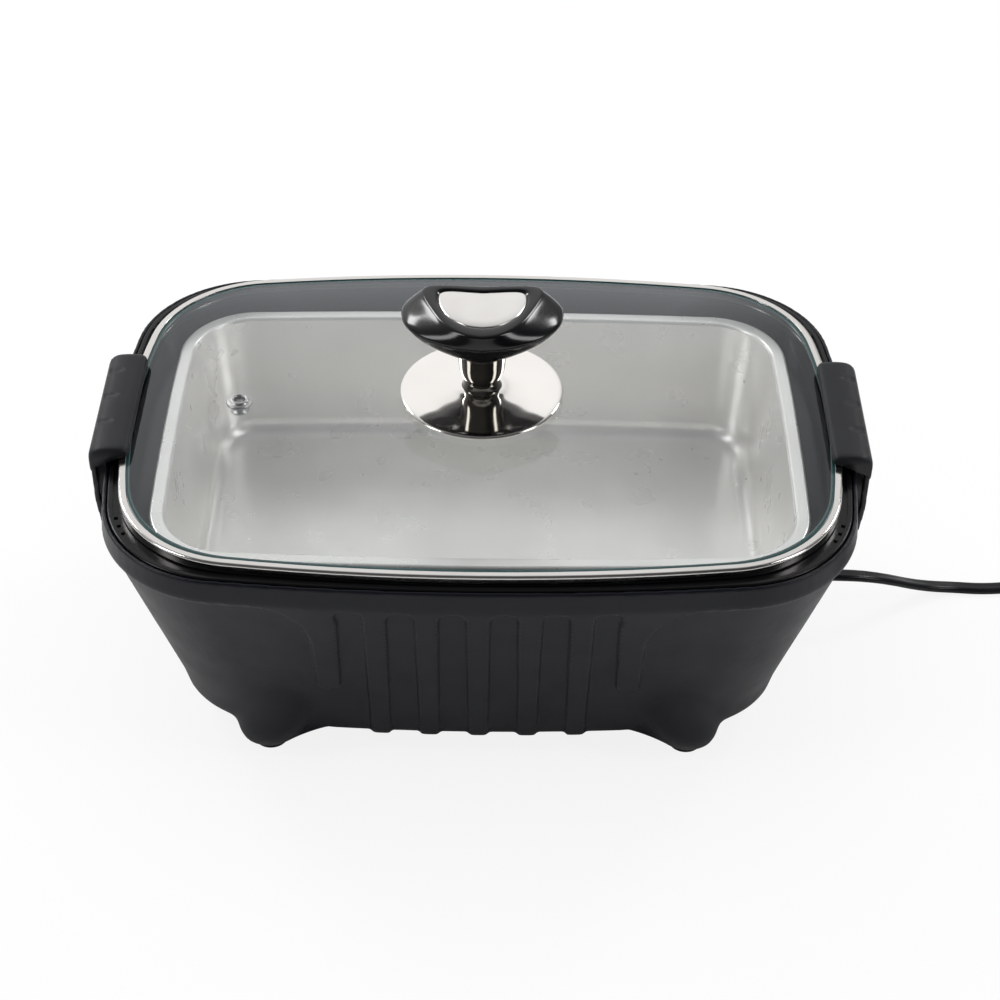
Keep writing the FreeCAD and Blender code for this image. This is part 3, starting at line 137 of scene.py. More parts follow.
def area_light(name, place, target, size, power, size_y=None):
    data = bpy.data.lights.new(name, "AREA")
    data.shape = "RECTANGLE"
    data.size, data.size_y, data.energy = size, size_y or size, power
    obj = bpy.data.objects.new(name, data)
    bpy.context.scene.collection.objects.link(obj)
    obj.location = place
    obj.rotation_euler = (Vector(target) - Vector(place)).to_track_quat("-Z", "Y").to_euler()
    return obj


def lights():
    """Soft box overhead, strips at the front corners and small bright lamps behind."""
    fill = area_light("top_softbox", (0.0, 0.3, 2.1), (0, 0, 0.1), 2.4, 22.0, 1.8)
    fill.visible_glossy = False
    area_light("left_strip", (-1.2, -0.4, 0.95), (0, 0, 0.1), 0.32, 6.0, 0.9)
    area_light("right_strip", (1.2, -0.4, 0.95), (0, 0, 0.1), 0.32, 6.0, 0.9)
    area_light("left_lamp", (-1.25, 1.1, 1.3), (0, 0, 0.1), 0.55, 11.0, 0.4)
    area_light("right_lamp", (1.25, 1.1, 1.3), (0, 0, 0.1), 0.45, 8.0, 0.35)


# Node helpers
def new_material(name):
    mat = bpy.data.materials.new(name)
    mat.use_nodes = True
    mat.node_tree.nodes.clear()
    out = mat.node_tree.nodes.new("ShaderNodeOutputMaterial")
    return mat, mat.node_tree, out


def node(tree, kind, **values):
    made = tree.nodes.new(kind)
    for key, value in values.items():
        if key in made.inputs:
            made.inputs[key].default_value = value
        else:
            setattr(made, key, value)
    return made


def wire_up(tree, *links):
    for source, out_name, target, in_name in links:
        tree.links.new(source.outputs[out_name], target.inputs[in_name])


def grain(tree, coords, scale, strength, distance, detail=3.0, soft=None):
    """Bump from a fine noise, in metres of height."""
    noise = node(tree, "ShaderNodeTexNoise", Scale=scale, Detail=detail, Roughness=0.6)
    bump = node(tree, "ShaderNodeBump", Strength=strength, Distance=distance)
    wire_up(tree, (coords, "Object", noise, "Vector"), (noise, "Fac", bump, "Height"))
    if soft:
        bevel = node(tree, "ShaderNodeBevel", Radius=soft)
        bevel.samples = 4
        wire_up(tree, (bevel, "Normal", bump, "Normal"))
    return bump


def varied(tree, coords, low, high, scale, detail=2.0):
    """Noise between two values, for roughness or a colour share."""
    noise = node(tree, "ShaderNodeTexNoise", Scale=scale, Detail=detail)
    remap = node(tree, "ShaderNodeMapRange")
    remap.inputs["From Min"].default_value = 0.3
    remap.inputs["From Max"].default_value = 0.7
    remap.inputs["To Min"].default_value = low
    remap.inputs["To Max"].default_value = high
    wire_up(tree, (coords, "Object", noise, "Vector"), (noise, "Fac", remap, "Value"))
    return remap


def moulded(name, colour, colour_2, rough, rough_2, grain_scale, grain_height, soft=None,
            specular=0.5, coat=0.0, metallic=0.0, strength=0.5):
    """Moulded or painted surface: two close tones, uneven sheen and a fine grain."""
    mat, tree, out = new_material(name)
    coords = node(tree, "ShaderNodeTexCoord")
    tone = varied(tree, coords, 0.0, 1.0, 35.0)
    mix = node(tree, "ShaderNodeMix", data_type="RGBA")
    mix.inputs["A"].default_value = (*colour, 1)
    mix.inputs["B"].default_value = (*colour_2, 1)
    sheen = varied(tree, coords, rough, rough_2, 60.0)
    bump = grain(tree, coords, grain_scale, strength, grain_height, soft=soft)
    shader = node(tree, "ShaderNodeBsdfPrincipled", Metallic=metallic)
    shader.inputs["Specular IOR Level"].default_value = specular
    shader.inputs["Coat Weight"].default_value = coat
    tree.links.new(tone.outputs["Result"], mix.inputs["Factor"])
    tree.links.new(mix.outputs[2], shader.inputs["Base Color"])
    wire_up(tree, (sheen, "Result", shader, "Roughness"), (bump, "Normal", shader, "Normal"),
            (shader, "BSDF", out, "Surface"))
    return mat


def glass(name, tint, sheen, strength):
    """Clear pane: light goes straight through, and both faces' reflection sits on the outer one."""
    mat, tree, out = new_material(name)
    coords = node(tree, "ShaderNodeTexCoord")
    clear = node(tree, "ShaderNodeBsdfTransparent", Color=(*tint, 1))
    shine = node(tree, "ShaderNodeBsdfGlossy", Color=(*sheen, 1))
    smear = varied(tree, coords, 0.0, 0.035, 22.0)
    edge = node(tree, "ShaderNodeFresnel", IOR=1.5)
    side = node(tree, "ShaderNodeNewGeometry")
    outer = node(tree, "ShaderNodeMath", operation="SUBTRACT")
    outer.inputs[0].default_value = 1.0
    share = node(tree, "ShaderNodeMath", operation="MULTIPLY")
    both = node(tree, "ShaderNodeMath", operation="MULTIPLY", use_clamp=True)
    both.inputs[1].default_value = strength
    mix = node(tree, "ShaderNodeMixShader")
    tree.links.new(side.outputs["Backfacing"], outer.inputs[1])
    tree.links.new(edge.outputs["Fac"], share.inputs[0])
    tree.links.new(outer.outputs[0], share.inputs[1])
    tree.links.new(share.outputs[0], both.inputs[0])
    wire_up(tree, (both, "Value", mix, "Fac"), (smear, "Result", shine, "Roughness"))
    tree.links.new(clear.outputs[0], mix.inputs[1])
    tree.links.new(shine.outputs[0], mix.inputs[2])
    tree.links.new(mix.outputs[0], out.inputs["Surface"])
    return mat


def paint(material, *names):
    for name in names:
        data = nodes[name].data
        data.materials.clear()
        data.materials.append(material)
        for polygon in data.polygons:
            polygon.material_index = 0


def materials():
    housing = moulded("housing_black", (0.0032, 0.0042, 0.0078), (0.0026, 0.0034, 0.0064), 0.36,
                      0.44, 1500.0, 0.00002, specular=0.28)
    bezel = moulded("bezel_black", (0.004, 0.0042, 0.005), (0.0035, 0.0036, 0.0042), 0.18, 0.24,
                    2600.0, 0.000002, soft=0.0004, specular=0.24)
    arm = moulded("arm_black", (0.0045, 0.005, 0.0065), (0.0036, 0.004, 0.005), 0.3, 0.38,
                  1800.0, 0.00001, specular=0.32)
    grip = moulded("grip_black", (0.009, 0.0098, 0.012), (0.0072, 0.0078, 0.0095), 0.46, 0.54,
                   3600.0, 0.00002, specular=0.28)
    rubber = moulded("foot_rubber", (0.02, 0.02, 0.02), (0.03, 0.03, 0.03), 0.7, 0.8,
                     1500.0, 0.00006, soft=0.0004)
    pan = moulded("pan_aluminium", (0.88, 0.86, 0.84), (0.82, 0.8, 0.78), 0.26, 0.34,
                  900.0, 0.00002, soft=0.0005, metallic=0.55)
    rim = moulded("rim_steel", (0.74, 0.72, 0.7), (0.68, 0.66, 0.64), 0.12, 0.18,
                  700.0, 0.00001, soft=0.0003, metallic=1.0, strength=0.2)
    polished = moulded("knob_steel", (0.93, 0.9, 0.87), (0.89, 0.86, 0.83), 0.05, 0.09,
                       300.0, 0.00001, metallic=1.0, strength=0.1)
    knob = moulded("knob_black", (0.003, 0.0032, 0.004), (0.0025, 0.0027, 0.0034), 0.13, 0.18,
                   1200.0, 0.000005, specular=0.42)
    neck = moulded("neck_steel", (0.16, 0.155, 0.14), (0.14, 0.135, 0.12), 0.08, 0.12,
                   300.0, 0.00001, metallic=1.0, strength=0.1)
    edge = moulded("glass_edge", (0.01, 0.045, 0.045), (0.008, 0.036, 0.036), 0.1, 0.2,
                   300.0, 0.00001)
    inlay = moulded("inlay_steel", (0.84, 0.82, 0.8), (0.78, 0.76, 0.74), 0.2, 0.28,
                    900.0, 0.00001, metallic=1.0, strength=0.2)
    steel = moulded("steel_pin", (0.5, 0.5, 0.5), (0.42, 0.42, 0.42), 0.25, 0.4,
                    900.0, 0.00002, soft=0.0002, metallic=1.0)
    cord = moulded("cord_black", (0.006, 0.0066, 0.008), (0.0075, 0.008, 0.0095), 0.24, 0.32,
                  900.0, 0.00001, specular=0.24)
    plug = moulded("plug_black", (0.016, 0.016, 0.018), (0.012, 0.012, 0.013), 0.3, 0.4,
                   2000.0, 0.00003, soft=0.0005)
    shield = moulded("shield_steel", (0.55, 0.55, 0.55), (0.48, 0.48, 0.48), 0.3, 0.45,
                     500.0, 0.00003, metallic=1.0)
    board = moulded("mineral_board", (0.75, 0.70, 0.6), (0.62, 0.57, 0.48), 0.9, 0.95,
                    700.0, 0.0002)
    heater = moulded("heater_steel", (0.28, 0.25, 0.22), (0.2, 0.17, 0.15), 0.35, 0.5,
                     600.0, 0.00003, metallic=1.0)
    switch = moulded("switch_black", (0.03, 0.022, 0.018), (0.02, 0.015, 0.012), 0.35, 0.45,
                     1500.0, 0.00002)
    white = moulded("terminal_white", (0.7, 0.67, 0.6), (0.6, 0.57, 0.5), 0.35, 0.45,
                    1500.0, 0.00002)
    red = moulded("lead_red", (0.45, 0.03, 0.02), (0.36, 0.02, 0.015), 0.4, 0.5, 900.0, 0.00002)
    seal = moulded("seal_silicone", (0.05, 0.05, 0.05), (0.04, 0.04, 0.04), 0.5, 0.6,
                   1500.0, 0.00002)
    clear = glass("lid_glass", (0.955, 0.965, 0.965), (0.92, 0.96, 1.0), 1.1)
    fuse = glass("fuse_glass", (0.92, 0.92, 0.92), (1, 1, 1), 1.0)
    paint(housing, "housing", "base_cover")
    paint(bezel, "top_bezel")
    paint(arm, "latch_arm_left", "latch_arm_right")
    paint(grip, "latch_grip_left", "latch_grip_right")
    paint(rubber, "foot_pads")
    paint(pan, "cooking_pan")
    paint(rim, "lid_rim", "steam_vent")
    paint(polished, "knob_base", "knob_neck")
    paint(knob, "knob_handle")
    paint(inlay, "knob_inlay")
    paint(steel, "shield_screws", "post_screws", "cover_screws", "clamp_studs", "hinge_pin_left",
          "hinge_pin_right", "bolt_washer", "knob_screw", "plug_tip", "plug_spring",
          "plug_side_contacts", "thermal_fuse")
    paint(cord, "strain_relief", "cord", "cord_coil", "coil_tie", "internal_lead_minus")
    paint(plug, "plug_boot", "plug_body", "plug_cap")
    paint(shield, "heat_shield", "element_clamp")
    paint(board, "insulation_board")
    paint(heater, "heating_element")
    paint(switch, "thermostat", "cord_clip")
    paint(white, "terminal_block")
    paint(red, "internal_lead_plus")
    paint(seal, "rim_seal", "knob_washer", "lead_bush")
    paint(clear, "lid_glass")
    paint(fuse, "plug_fuse")
    return {"housing": housing, "arm": arm, "grip": grip, "knob": knob, "inlay": inlay,
            "polished": polished, "neck": neck, "edge": edge, "clear": clear, "steel": steel, "cord": cord}


# Mesh helpers
def piece(name, mesh, material, body, slot, *replaced):
    """Puts a mesh into the scene as a smooth piece that rides on a body and stands for nodes."""
    obj = bpy.data.objects.new(name, mesh)
    bpy.context.scene.collection.objects.link(obj)
    mesh.materials.clear()
    mesh.materials.append(material)
    for polygon in mesh.polygons:
        polygon.use_smooth = True
        polygon.material_index = 0
    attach(obj, body)
    if replaced:
        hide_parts(*replaced)
    return obj


def lofted(name, rings, close_first=True, close_last=True):
    """Mesh through rings of points, each ring closed on itself, with the ends filled."""
    made = bmesh.new()
    rows = [[made.verts.new(point) for point in ring] for ring in rings]
    count = len(rows[0])
    for row, following in zip(rows, rows[1:]):
        for i in range(count):
            j = (i + 1) % count
            made.faces.new((row[i], row[j], following[j], following[i]))
    if close_first:
        made.faces.new(rows[0][::-1])
    if close_last:
        made.faces.new(rows[-1])
    bmesh.ops.recalc_face_normals(made, faces=made.faces)
    mesh = bpy.data.meshes.new(name)
    made.to_mesh(mesh)
    made.free()
    return mesh


def turned(name, profile, centre, count=96, closed=False):
    """Solid of revolution about the vertical through centre from (radius, height) points."""
    rings = [[(centre[0] + r * math.cos(2 * math.pi * k / count),
               centre[1] + r * math.sin(2 * math.pi * k / count), z) for k in range(count)]
             for r, z in profile]
    if closed:
        rings.append(rings[0])
    return lofted(name, rings, not closed, not closed)


def smooth_line(points, per_span=6):
    """Catmull-Rom line through 2-D points, for profiles and outlines with soft turns."""
    line = []
    for i in range(len(points) - 1):
        p0 = points[max(i - 1, 0)]
        p1, p2 = points[i], points[i + 1]
        p3 = points[min(i + 2, len(points) - 1)]
        for k in range(per_span):
            t = k / per_span
            line.append(tuple(0.5 * (2 * b + (c - a) * t + (2 * a - 5 * b + 4 * c - d) * t ** 2
                                     + (3 * b - a - 3 * c + d) * t ** 3)
                              for a, b, c, d in zip(p0, p1, p2, p3)))
    return line + [points[-1]]


def bowed_outline(half, bow, corner, per_arc=20):
    """Closed outline with four bowed sides and four round corners, counter-clockwise."""
    side = (half[1] ** 2 + bow[0] ** 2) / (2 * bow[0])
    back = (half[0] ** 2 + bow[1] ** 2) / (2 * bow[1])
    side_x, back_y = half[0] - side, half[1] - back
    reach_1, reach_2 = side - corner, back - corner
    apart = math.hypot(side_x, back_y)
    along = (reach_1 ** 2 - reach_2 ** 2 + apart ** 2) / (2 * apart)
    off = math.sqrt(reach_1 ** 2 - along ** 2)
    ux, uy = -side_x / apart, back_y / apart
    cx, cy = side_x + ux * along - uy * off, uy * along + ux * off
    if cx < 0 or cy < 0:
        cx, cy = side_x + ux * along + uy * off, uy * along - ux * off
    turn_1 = math.atan2(cy, cx - side_x)
    turn_2 = math.atan2(cy - back_y, cx)
    quarter = []
    for k in range(per_arc):
        angle = turn_1 * k / per_arc
        quarter.append((side_x + side * math.cos(angle), side * math.sin(angle)))
    for k in range(per_arc):
        angle = turn_1 + (turn_2 - turn_1) * k / per_arc
        quarter.append((cx + corner * math.cos(angle), cy + corner * math.sin(angle)))
    for k in range(per_arc):
        angle = turn_2 + (math.pi / 2 - turn_2) * k / per_arc
        quarter.append((back * math.cos(angle), back_y + back * math.sin(angle)))
    quarter.append((0.0, half[1]))
    right = [(x, y) for x, y in quarter]
    left = [(-x, y) for x, y in quarter[-2::-1]]
    top = right + left
    return top + [(x, -y) for x, y in top[-2:0:-1]]


def lid_ring(inset, z):
    """Ring of the lid's outline drawn inwards, its corners shrinking with it."""
    share = (LID_HALF[1] - inset) / LID_HALF[1]
    side = (LID_HALF[1] ** 2 + LID_BOW[0] ** 2) / (2 * LID_BOW[0])
    back = (LID_HALF[0] ** 2 + LID_BOW[1] ** 2) / (2 * LID_BOW[1])
    half = (LID_HALF[0] - inset, LID_HALF[1] - inset)
    bow = (side - math.sqrt(side ** 2 - half[1] ** 2), back - math.sqrt(back ** 2 - half[0] ** 2))
    return [(x, y, z) for x, y in bowed_outline(half, bow, LID_CORNER * share)]


def crown(inset):
    """Rise of the glass over its edge."""
    share = min(max((inset - RIM_FLANGE) / (CROWN_INSET - RIM_FLANGE), 0.0), 1.0)
    return CROWN_RISE * (1 - (1 - share) ** CROWN_POWER)


def lid_glass(material):
    """Crowned glass with smooth faces."""
    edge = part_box("lid_rim")[1][2] - 0.5 * MM
    insets = [1.3 * MM, 2.4 * MM, RIM_FLANGE]
    insets += [RIM_FLANGE + (CROWN_INSET - RIM_FLANGE) * k / 16 for k in range(1, 17)]
    insets += [88 * MM, 97 * MM]
    over = [lid_ring(inset, edge + crown(inset)) for inset in insets]
    under = [lid_ring(inset, edge - GLASS_THICK + crown(inset)) for inset in insets]
    mesh = lofted("lid_pane", under[::-1] + over)
    piece("lid_pane", mesh, material, "lid", "lid_glass", "lid_glass")


def glass_edge(material):
    """Dark green line of the glass's ground edge just inside the rim."""
    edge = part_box("lid_rim")[1][2] - 0.5 * MM
    insets = [(3.0, 0.0), (3.0, 0.12), (3.5, 0.14), (4.2, 0.2), (4.9, 0.26), (4.9, 0.12)]
    rings = [lid_ring(inset * MM, edge + z * MM) for inset, z in insets]
    mesh = lofted("glass_line", rings + rings[:1], False, False)
    piece("glass_line", mesh, material, "lid", "lid_glass")


def vent(material):
    """Rolled eyelet with a raised ring around its hole."""
    low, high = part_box("steam_vent")
    centre = ((low[0] + high[0]) / 2, (low[1] + high[1]) / 2)
    face = high[2] - 0.5 * MM
    bottom = low[2]
    profile = [(2.2, -0.4), (2.25, 0.6), (2.6, 1.25), (3.2, 1.4), (3.8, 1.15), (4.1, 0.7), (4.4, 0.55),
               (4.9, 0.5), (5.3, 0.25), (5.5, -0.15), (5.4, -0.45), (3.0, -0.5)]
    ring = [(r * MM, face + z * MM) for r, z in smooth_line(profile, 3)]
    ring += [(3.0 * MM, bottom + 0.8 * MM), (3.9 * MM, bottom + 0.8 * MM), (3.9 * MM, bottom),
             (2.2 * MM, bottom)]
    mesh = turned("steam_eyelet", ring, centre, 64, closed=True)
    piece("steam_eyelet", mesh, material, "lid", "rim_steel", "steam_vent")


def knob_metal(material, neck_material):
    """Mirror disc that sweeps up to a waist, and the neck's cup above a fine groove."""
    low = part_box("knob_base")[0][2]
    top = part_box("knob_neck")[1][2]
    base = [(2.6, 0.0), (33.2, 0.0), (33.9, 0.35), (34.0, 0.8), (33.7, 1.25), (32.6, 1.55), (28.0, 1.8),
            (22.0, 2.05), (16.0, 2.5), (12.0, 2.9), (9.8, 3.3), (8.5, 3.5),
            (8.0, 3.5), (2.6, 3.5)]
    ring = [(r * MM, low + z * MM) for r, z in base[:1] + smooth_line(base[1:-2], 4) + base[-2:]]
    mesh = turned("knob_disc", ring, (0, 0), 128, closed=True)
    piece("knob_disc", mesh, material, "lid", "knob_steel", "knob_base")
    span = (top - low) / MM
    neck = [(2.6, 3.55), (8.4, 3.55), (7.9, 4.4), (7.5, 5.6), (7.2, 6.6), (6.9, 6.95), (7.2, 7.4),
            (7.8, 8.1), (8.5, 9.4), (9.2, 11.4), (9.6, 14.0),
            (9.9, 17.0), (10.3, 20.0), (10.6, span), (2.6, span)]
    ring = [(r * MM, low + z * MM) for r, z in neck[:1] + smooth_line(neck[1:-1], 4) + neck[-1:]]
    mesh = turned("knob_stem", ring, (0, 0), 96, closed=True)
    piece("knob_stem", mesh, neck_material, "lid", "knob_steel", "knob_neck")


def around(half_plan, count=96):
    """Closed plan from its right half, listed from the back's middle to the front's middle."""
    right = smooth_line(half_plan, 8)
    outline = right + [(-x, y) for x, y in right[-2:0:-1]]
    lengths = [0.0]
    for (x0, y0), (x1, y1) in zip(outline, outline[1:] + outline[:1]):
        lengths.append(lengths[-1] + math.hypot(x1 - x0, y1 - y0))
    points, k = [], 0
    for i in range(count):
        target = lengths[-1] * i / count
        while lengths[k + 1] < target:
            k += 1
        share = (target - lengths[k]) / (lengths[k + 1] - lengths[k])
        x0, y0 = outline[k]
        x1, y1 = outline[(k + 1) % len(outline)]
        points.append((x0 + (x1 - x0) * share, y0 + (y1 - y0) * share))
    return points


def blended(plan_1, plan_2, share, z):
    return [(a[0] + (b[0] - a[0]) * share, a[1] + (b[1] - a[1]) * share, z)
            for a, b in zip(plan_1, plan_2)]


def handle(material, inlay_material):
    """Glossy handle: recessed inlay, flat top, broad side bevels, an undercut to the neck."""
    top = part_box("knob_neck")[1][2] + HANDLE_TOP
    inner, face, wide = (around([(x * MM, y * MM) for x, y in plan])
                         for plan in (INLAY_PLAN, TOP_PLAN, WIDE_PLAN))
    circle = around([(0, NECK_TOP)] + [(NECK_TOP * math.sin(math.pi * k / 8),
                                        NECK_TOP * math.cos(math.pi * k / 8)) for k in range(1, 8)]
                    + [(0, -NECK_TOP)])
    rim = [(-0.1, -1.4), (0.0, -1.0), (0.1, -0.25), (0.25, -0.05), (0.5, 0.0), (0.8, -0.05),
           (0.93, -0.2)]
    side = [(0.0, -0.5), (0.08, -0.95), (0.22, -1.6), (0.4, -2.4), (0.58, -3.2), (0.76, -4.1),
            (0.9, -5.0), (0.98, -5.7)]
    under = [(0.0, -6.4), (0.015, -6.9), (0.05, -7.9), (0.11, -9.4), (0.2, -11.0), (0.34, -12.8),
             (0.52, -14.6), (0.72, -16.3), (0.89, -17.6), (1.0, -18.5)]
    rings = [blended(first, last, share, top + dz * MM)
             for first, last, steps in ((inner, face, rim), (face, wide, side), (wide, circle, under))
             for share, dz in steps]
    mesh = lofted("knob_grip", rings)
    piece("knob_grip", mesh, material, "lid", "knob_black", "knob_handle")
    middle = 2.0 * MM
    plate = [(0.985, -1.6), (0.985, -0.8), (0.975, -0.6), (0.94, -0.47), (0.6, -0.4), (0.2, -0.38)]
    rings = [[(x * share, middle + (y - middle) * share, top + dz * MM) for x, y in inner]
             for share, dz in plate]
    mesh = lofted("knob_plate", rings)
    piece("knob_plate", mesh, inlay_material, "lid", "inlay_steel", "knob_inlay")


def soften_arm(holder):
    remesh = holder.modifiers.new("voxels", "REMESH")
    remesh.mode = "VOXEL"
    remesh.voxel_size = ARM_VOXEL
    smooth = holder.modifiers.new("edges", "SMOOTH")
    smooth.factor, smooth.iterations = 0.5, 4


def latch_arm(side, name, body, material):
    """Arm with soft edges that spreads and stands out a little towards its pivot."""
    source = "latch_arm_" + body.split("_")[1]
    mesh = modified(nodes[source].data.copy(), name + "_start", soften_arm)
    flat = np.empty(3 * len(mesh.vertices))
    mesh.vertices.foreach_get("co", flat)
    place = flat.reshape(-1, 3) / MM
    x, y, z = side * place[:, 0], np.abs(place[:, 1]), place[:, 2]
    low = 1 - ramp(z, 72.0, 112.0)
    place[:, 1] += np.sign(place[:, 1]) * ARM_WIDER * low * ramp(y, 29.8, 31.0)
    place[:, 0] += side * ARM_FURTHER * ramp(x, 152.5, 154.5) * (1 - ramp(z, 92.0, 108.0))
    mesh.vertices.foreach_set("co", (place * MM).ravel())
    piece(name, mesh, material, body, "housing_black", source)


def grip_section():
    """Section of the right-hand grip, from its inner lower lip over the top to the skirt."""
    line = [(146.4, 119.1), (144.9, 119.1), (144.3, 119.8), (144.3, 121.2), (145.0, 122.5),
            (146.8, 123.25), (150.5, 123.5), (154.0, 123.4), (157.0, 122.9), (159.3, 121.7),
            (160.6, 119.9), (161.0, 117.6), (161.0, 114.4), (160.9, 112.0), (160.6, 111.1),
            (160.1, 111.3), (159.4, 113.0)]
    outer = smooth_line(line, 4)
    return [(x * MM, z * MM) for x, z in outer]


def latch_grip(side, name, body, material):
    """Soft thick sleeve with rounded ends and three lens-shaped dents."""
    section = grip_section()
    middle = (153.5 * MM, 118.5 * MM)
    steps = 110
    rings = []
    for k in range(steps + 1):
        y = -GRIP_HALF + 2 * GRIP_HALF * k / steps
        end = min(1.0, (GRIP_HALF - abs(y)) / (3.2 * MM))
        draw = 1.0 - 0.16 * (1.0 - math.sqrt(max(0.0, 1 - (1 - end) ** 2)))
        ring = []
        for i, (x, z) in enumerate(section):
            x1 = middle[0] + (x - middle[0]) * draw
            z1 = middle[1] + (z - middle[1]) * draw
            if z > 119.5 * MM and x > 152.0 * MM:
                for at in GRIP_DENTS:
                    u = (x - 157.2 * MM) / (4.4 * MM)
                    v = (y - at) / (2.4 * MM)
                    hollow = max(0.0, 1 - u * u - v * v)
                    z1 -= DENT_DEPTH * hollow ** 0.6 * (0.55 - 0.45 * max(-1, min(1, v)))
            ring.append((side * x1, y, z1))
        rings.append(ring)
    mesh = lofted(name, rings)
    piece(name, mesh, material, body, "grip_black", "latch_grip_" + body.split("_")[1])


def flat_section(count=9):
    """Section of the flat twin flex: two round cores side by side with a groove between."""
    radius = CORD_THICK / 2
    reach = CORD_WIDTH / 2 - radius
    points = []
    for side in (1, -1):
        for k in range(count):
            angle = -1.95 + 3.9 * k / (count - 1)
            points.append((side * (reach + radius * math.cos(angle)),
                           side * radius * math.sin(angle)))
    return points


def route_points():
    """Centre line of the whole lead: the free stretch listed point by point, then the coil worked out."""
    free = [(0.1532, 0.009, 0.023), (0.164, 0.009, 0.023), (0.175, 0.0106, 0.0209),
            (0.186, 0.0146, 0.0157), (0.1965, 0.0194, 0.0092), (0.207, 0.0236, 0.0042),
            (0.218, 0.0258, 0.0019), (0.231, 0.025, 0.0017), (0.245, 0.0263, 0.0017),
            (0.259, 0.031, 0.0022), (0.274, 0.0368, 0.0033), (0.2876, 0.04006, 0.0041),
            (0.2976, 0.04006, 0.0041)]
    return free + coil_points() + [(0.3104, 0.04408, 0.01215)]


def coil_points():
    """Turns that spiral in, climb a layer and spiral out, as control points."""
    per_turn = 16
    outer = COIL_MEAN + COIL_PITCH * (COIL_LAYER_TURNS - 0.5) / 2
    points = []
    turns = 2 * COIL_LAYER_TURNS
    climb_0, climb_1 = COIL_LAYER_TURNS - 0.5, COIL_LAYER_TURNS
    for k in range(turns * per_turn + 1):
        turn = k / per_turn
        if turn < climb_0:
            radius, layer = outer - COIL_PITCH * turn, 0.0
        elif turn < climb_1:
            share = (turn - climb_0) / (climb_1 - climb_0)
            radius = outer - COIL_PITCH * climb_0
            layer = 0.5 - 0.5 * math.cos(math.pi * share)
        else:
            radius, layer = outer - COIL_PITCH * climb_0 + COIL_PITCH * (turn - climb_1), 1.0
        angle = math.pi / 2 - 2 * math.pi * turn
        reach = radius / math.cos(math.pi / per_turn)
        points.append((COIL_CENTRE[0] + reach * math.cos(angle),
                       COIL_CENTRE[1] + reach * math.sin(angle),
                       COIL_FIRST_Z + COIL_PITCH * layer))
    return points


def lead_path():
    """Points along the lead's smooth line, read from its curve."""
    points = route_points()
    data = bpy.data.curves.new("lead_line", "CURVE")
    data.dimensions = "3D"
    data.resolution_u = 8
    spline = data.splines.new("NURBS")
    spline.points.add(len(points) - 1)
    for point, place in zip(spline.points, points):
        point.co = (*place, 1)
    spline.order_u = 3
    spline.use_endpoint_u = True
    line = bpy.data.objects.new("lead_line", data)
    bpy.context.scene.collection.objects.link(line)
    bpy.context.view_layer.update()
    mesh = bpy.data.meshes.new_from_object(line)
    path = [vertex.co.copy() for vertex in mesh.vertices]
    bpy.data.objects.remove(line)
    return path


def lead(material):
    """Flat twin flex that lies on its side on the table and turns on edge into the coil."""
    path = lead_path()
    section = flat_section()
    turn_0, turn_1 = 0.262, 0.292
    rings, on_edge = [], 0.0
    for i, place in enumerate(path):
        along = (path[min(i + 1, len(path) - 1)] - path[max(i - 1, 0)]).normalized()
        level = Vector((0, 0, 1)).cross(along).normalized()
        upright = along.cross(level)
        if on_edge < 1.0 and place.x > turn_0:
            share = min((place.x - turn_0) / (turn_1 - turn_0), 1.0)
            on_edge = max(on_edge, share * share * (3 - 2 * share))
        angle = on_edge * math.pi / 2
        wide = level * math.cos(angle) + upright * math.sin(angle)
        thin = upright * math.cos(angle) - level * math.sin(angle)
        rings.append([place + wide * a + thin * b for a, b in section])
    mesh = lofted("power_lead", rings)
    obj = piece("power_lead", mesh, material, "base", "cord_black", "cord", "cord_coil")


def ramp(value, start, end):
    share = np.clip((value - start) / (end - start), 0.0, 1.0)
    return share * share * (3 - 2 * share)


def leg_weight(x, y, z):
    """How much of the blend's smoothing a point of the tub gets: the legs' roots most."""
    side = np.where(z < 42.0, ramp(x, 60.0, 68.0), ramp(x, 68.0, 74.0))
    return side * ramp(y, 44.0, 52.0) * ramp(z, 3.0, 7.0) * (1 - ramp(z, 52.0, 60.0))


def raised(x, z):
    """Signed distance to the raised pattern of the front, negative on it."""
    apart = np.abs(x)
    band = np.maximum(ARCH - z, apart - SHORT_RIB[0] - SHORT_RIB[1])
    place, top, low, end = SHORT_RIB
    share = np.clip((ARCH - z) / (ARCH - end), 0.0, 1.0)
    rib = np.where(z > end, np.abs(apart - place) - top - (low - top) * share,
                   np.hypot(apart - place, z - end) - low)
    corner = place + top + SHOULDER
    turn = np.maximum(SHOULDER - np.hypot(apart - corner, z - BAND_LOW + SHOULDER), apart - corner)
    shoulder = np.maximum(np.maximum(turn, BAND_LOW - SHOULDER - z), place - 3.0 - apart)
    pattern = np.minimum(np.minimum(band, rib), shoulder)
    share = np.clip((ARCH - z) / (ARCH - RIB_LOW), 0.0, 1.0)
    half = RIB_HALF[0] + (RIB_HALF[1] - RIB_HALF[0]) * share
    for i in range(3):
        pattern = np.minimum(pattern, np.abs(apart - i * RIB_PITCH) - half)
    for i in range(3):
        flute = FLUTE - np.hypot(apart - (i + 0.5) * RIB_PITCH, z - ARCH)
        pattern = np.maximum(pattern, flute)
    return pattern


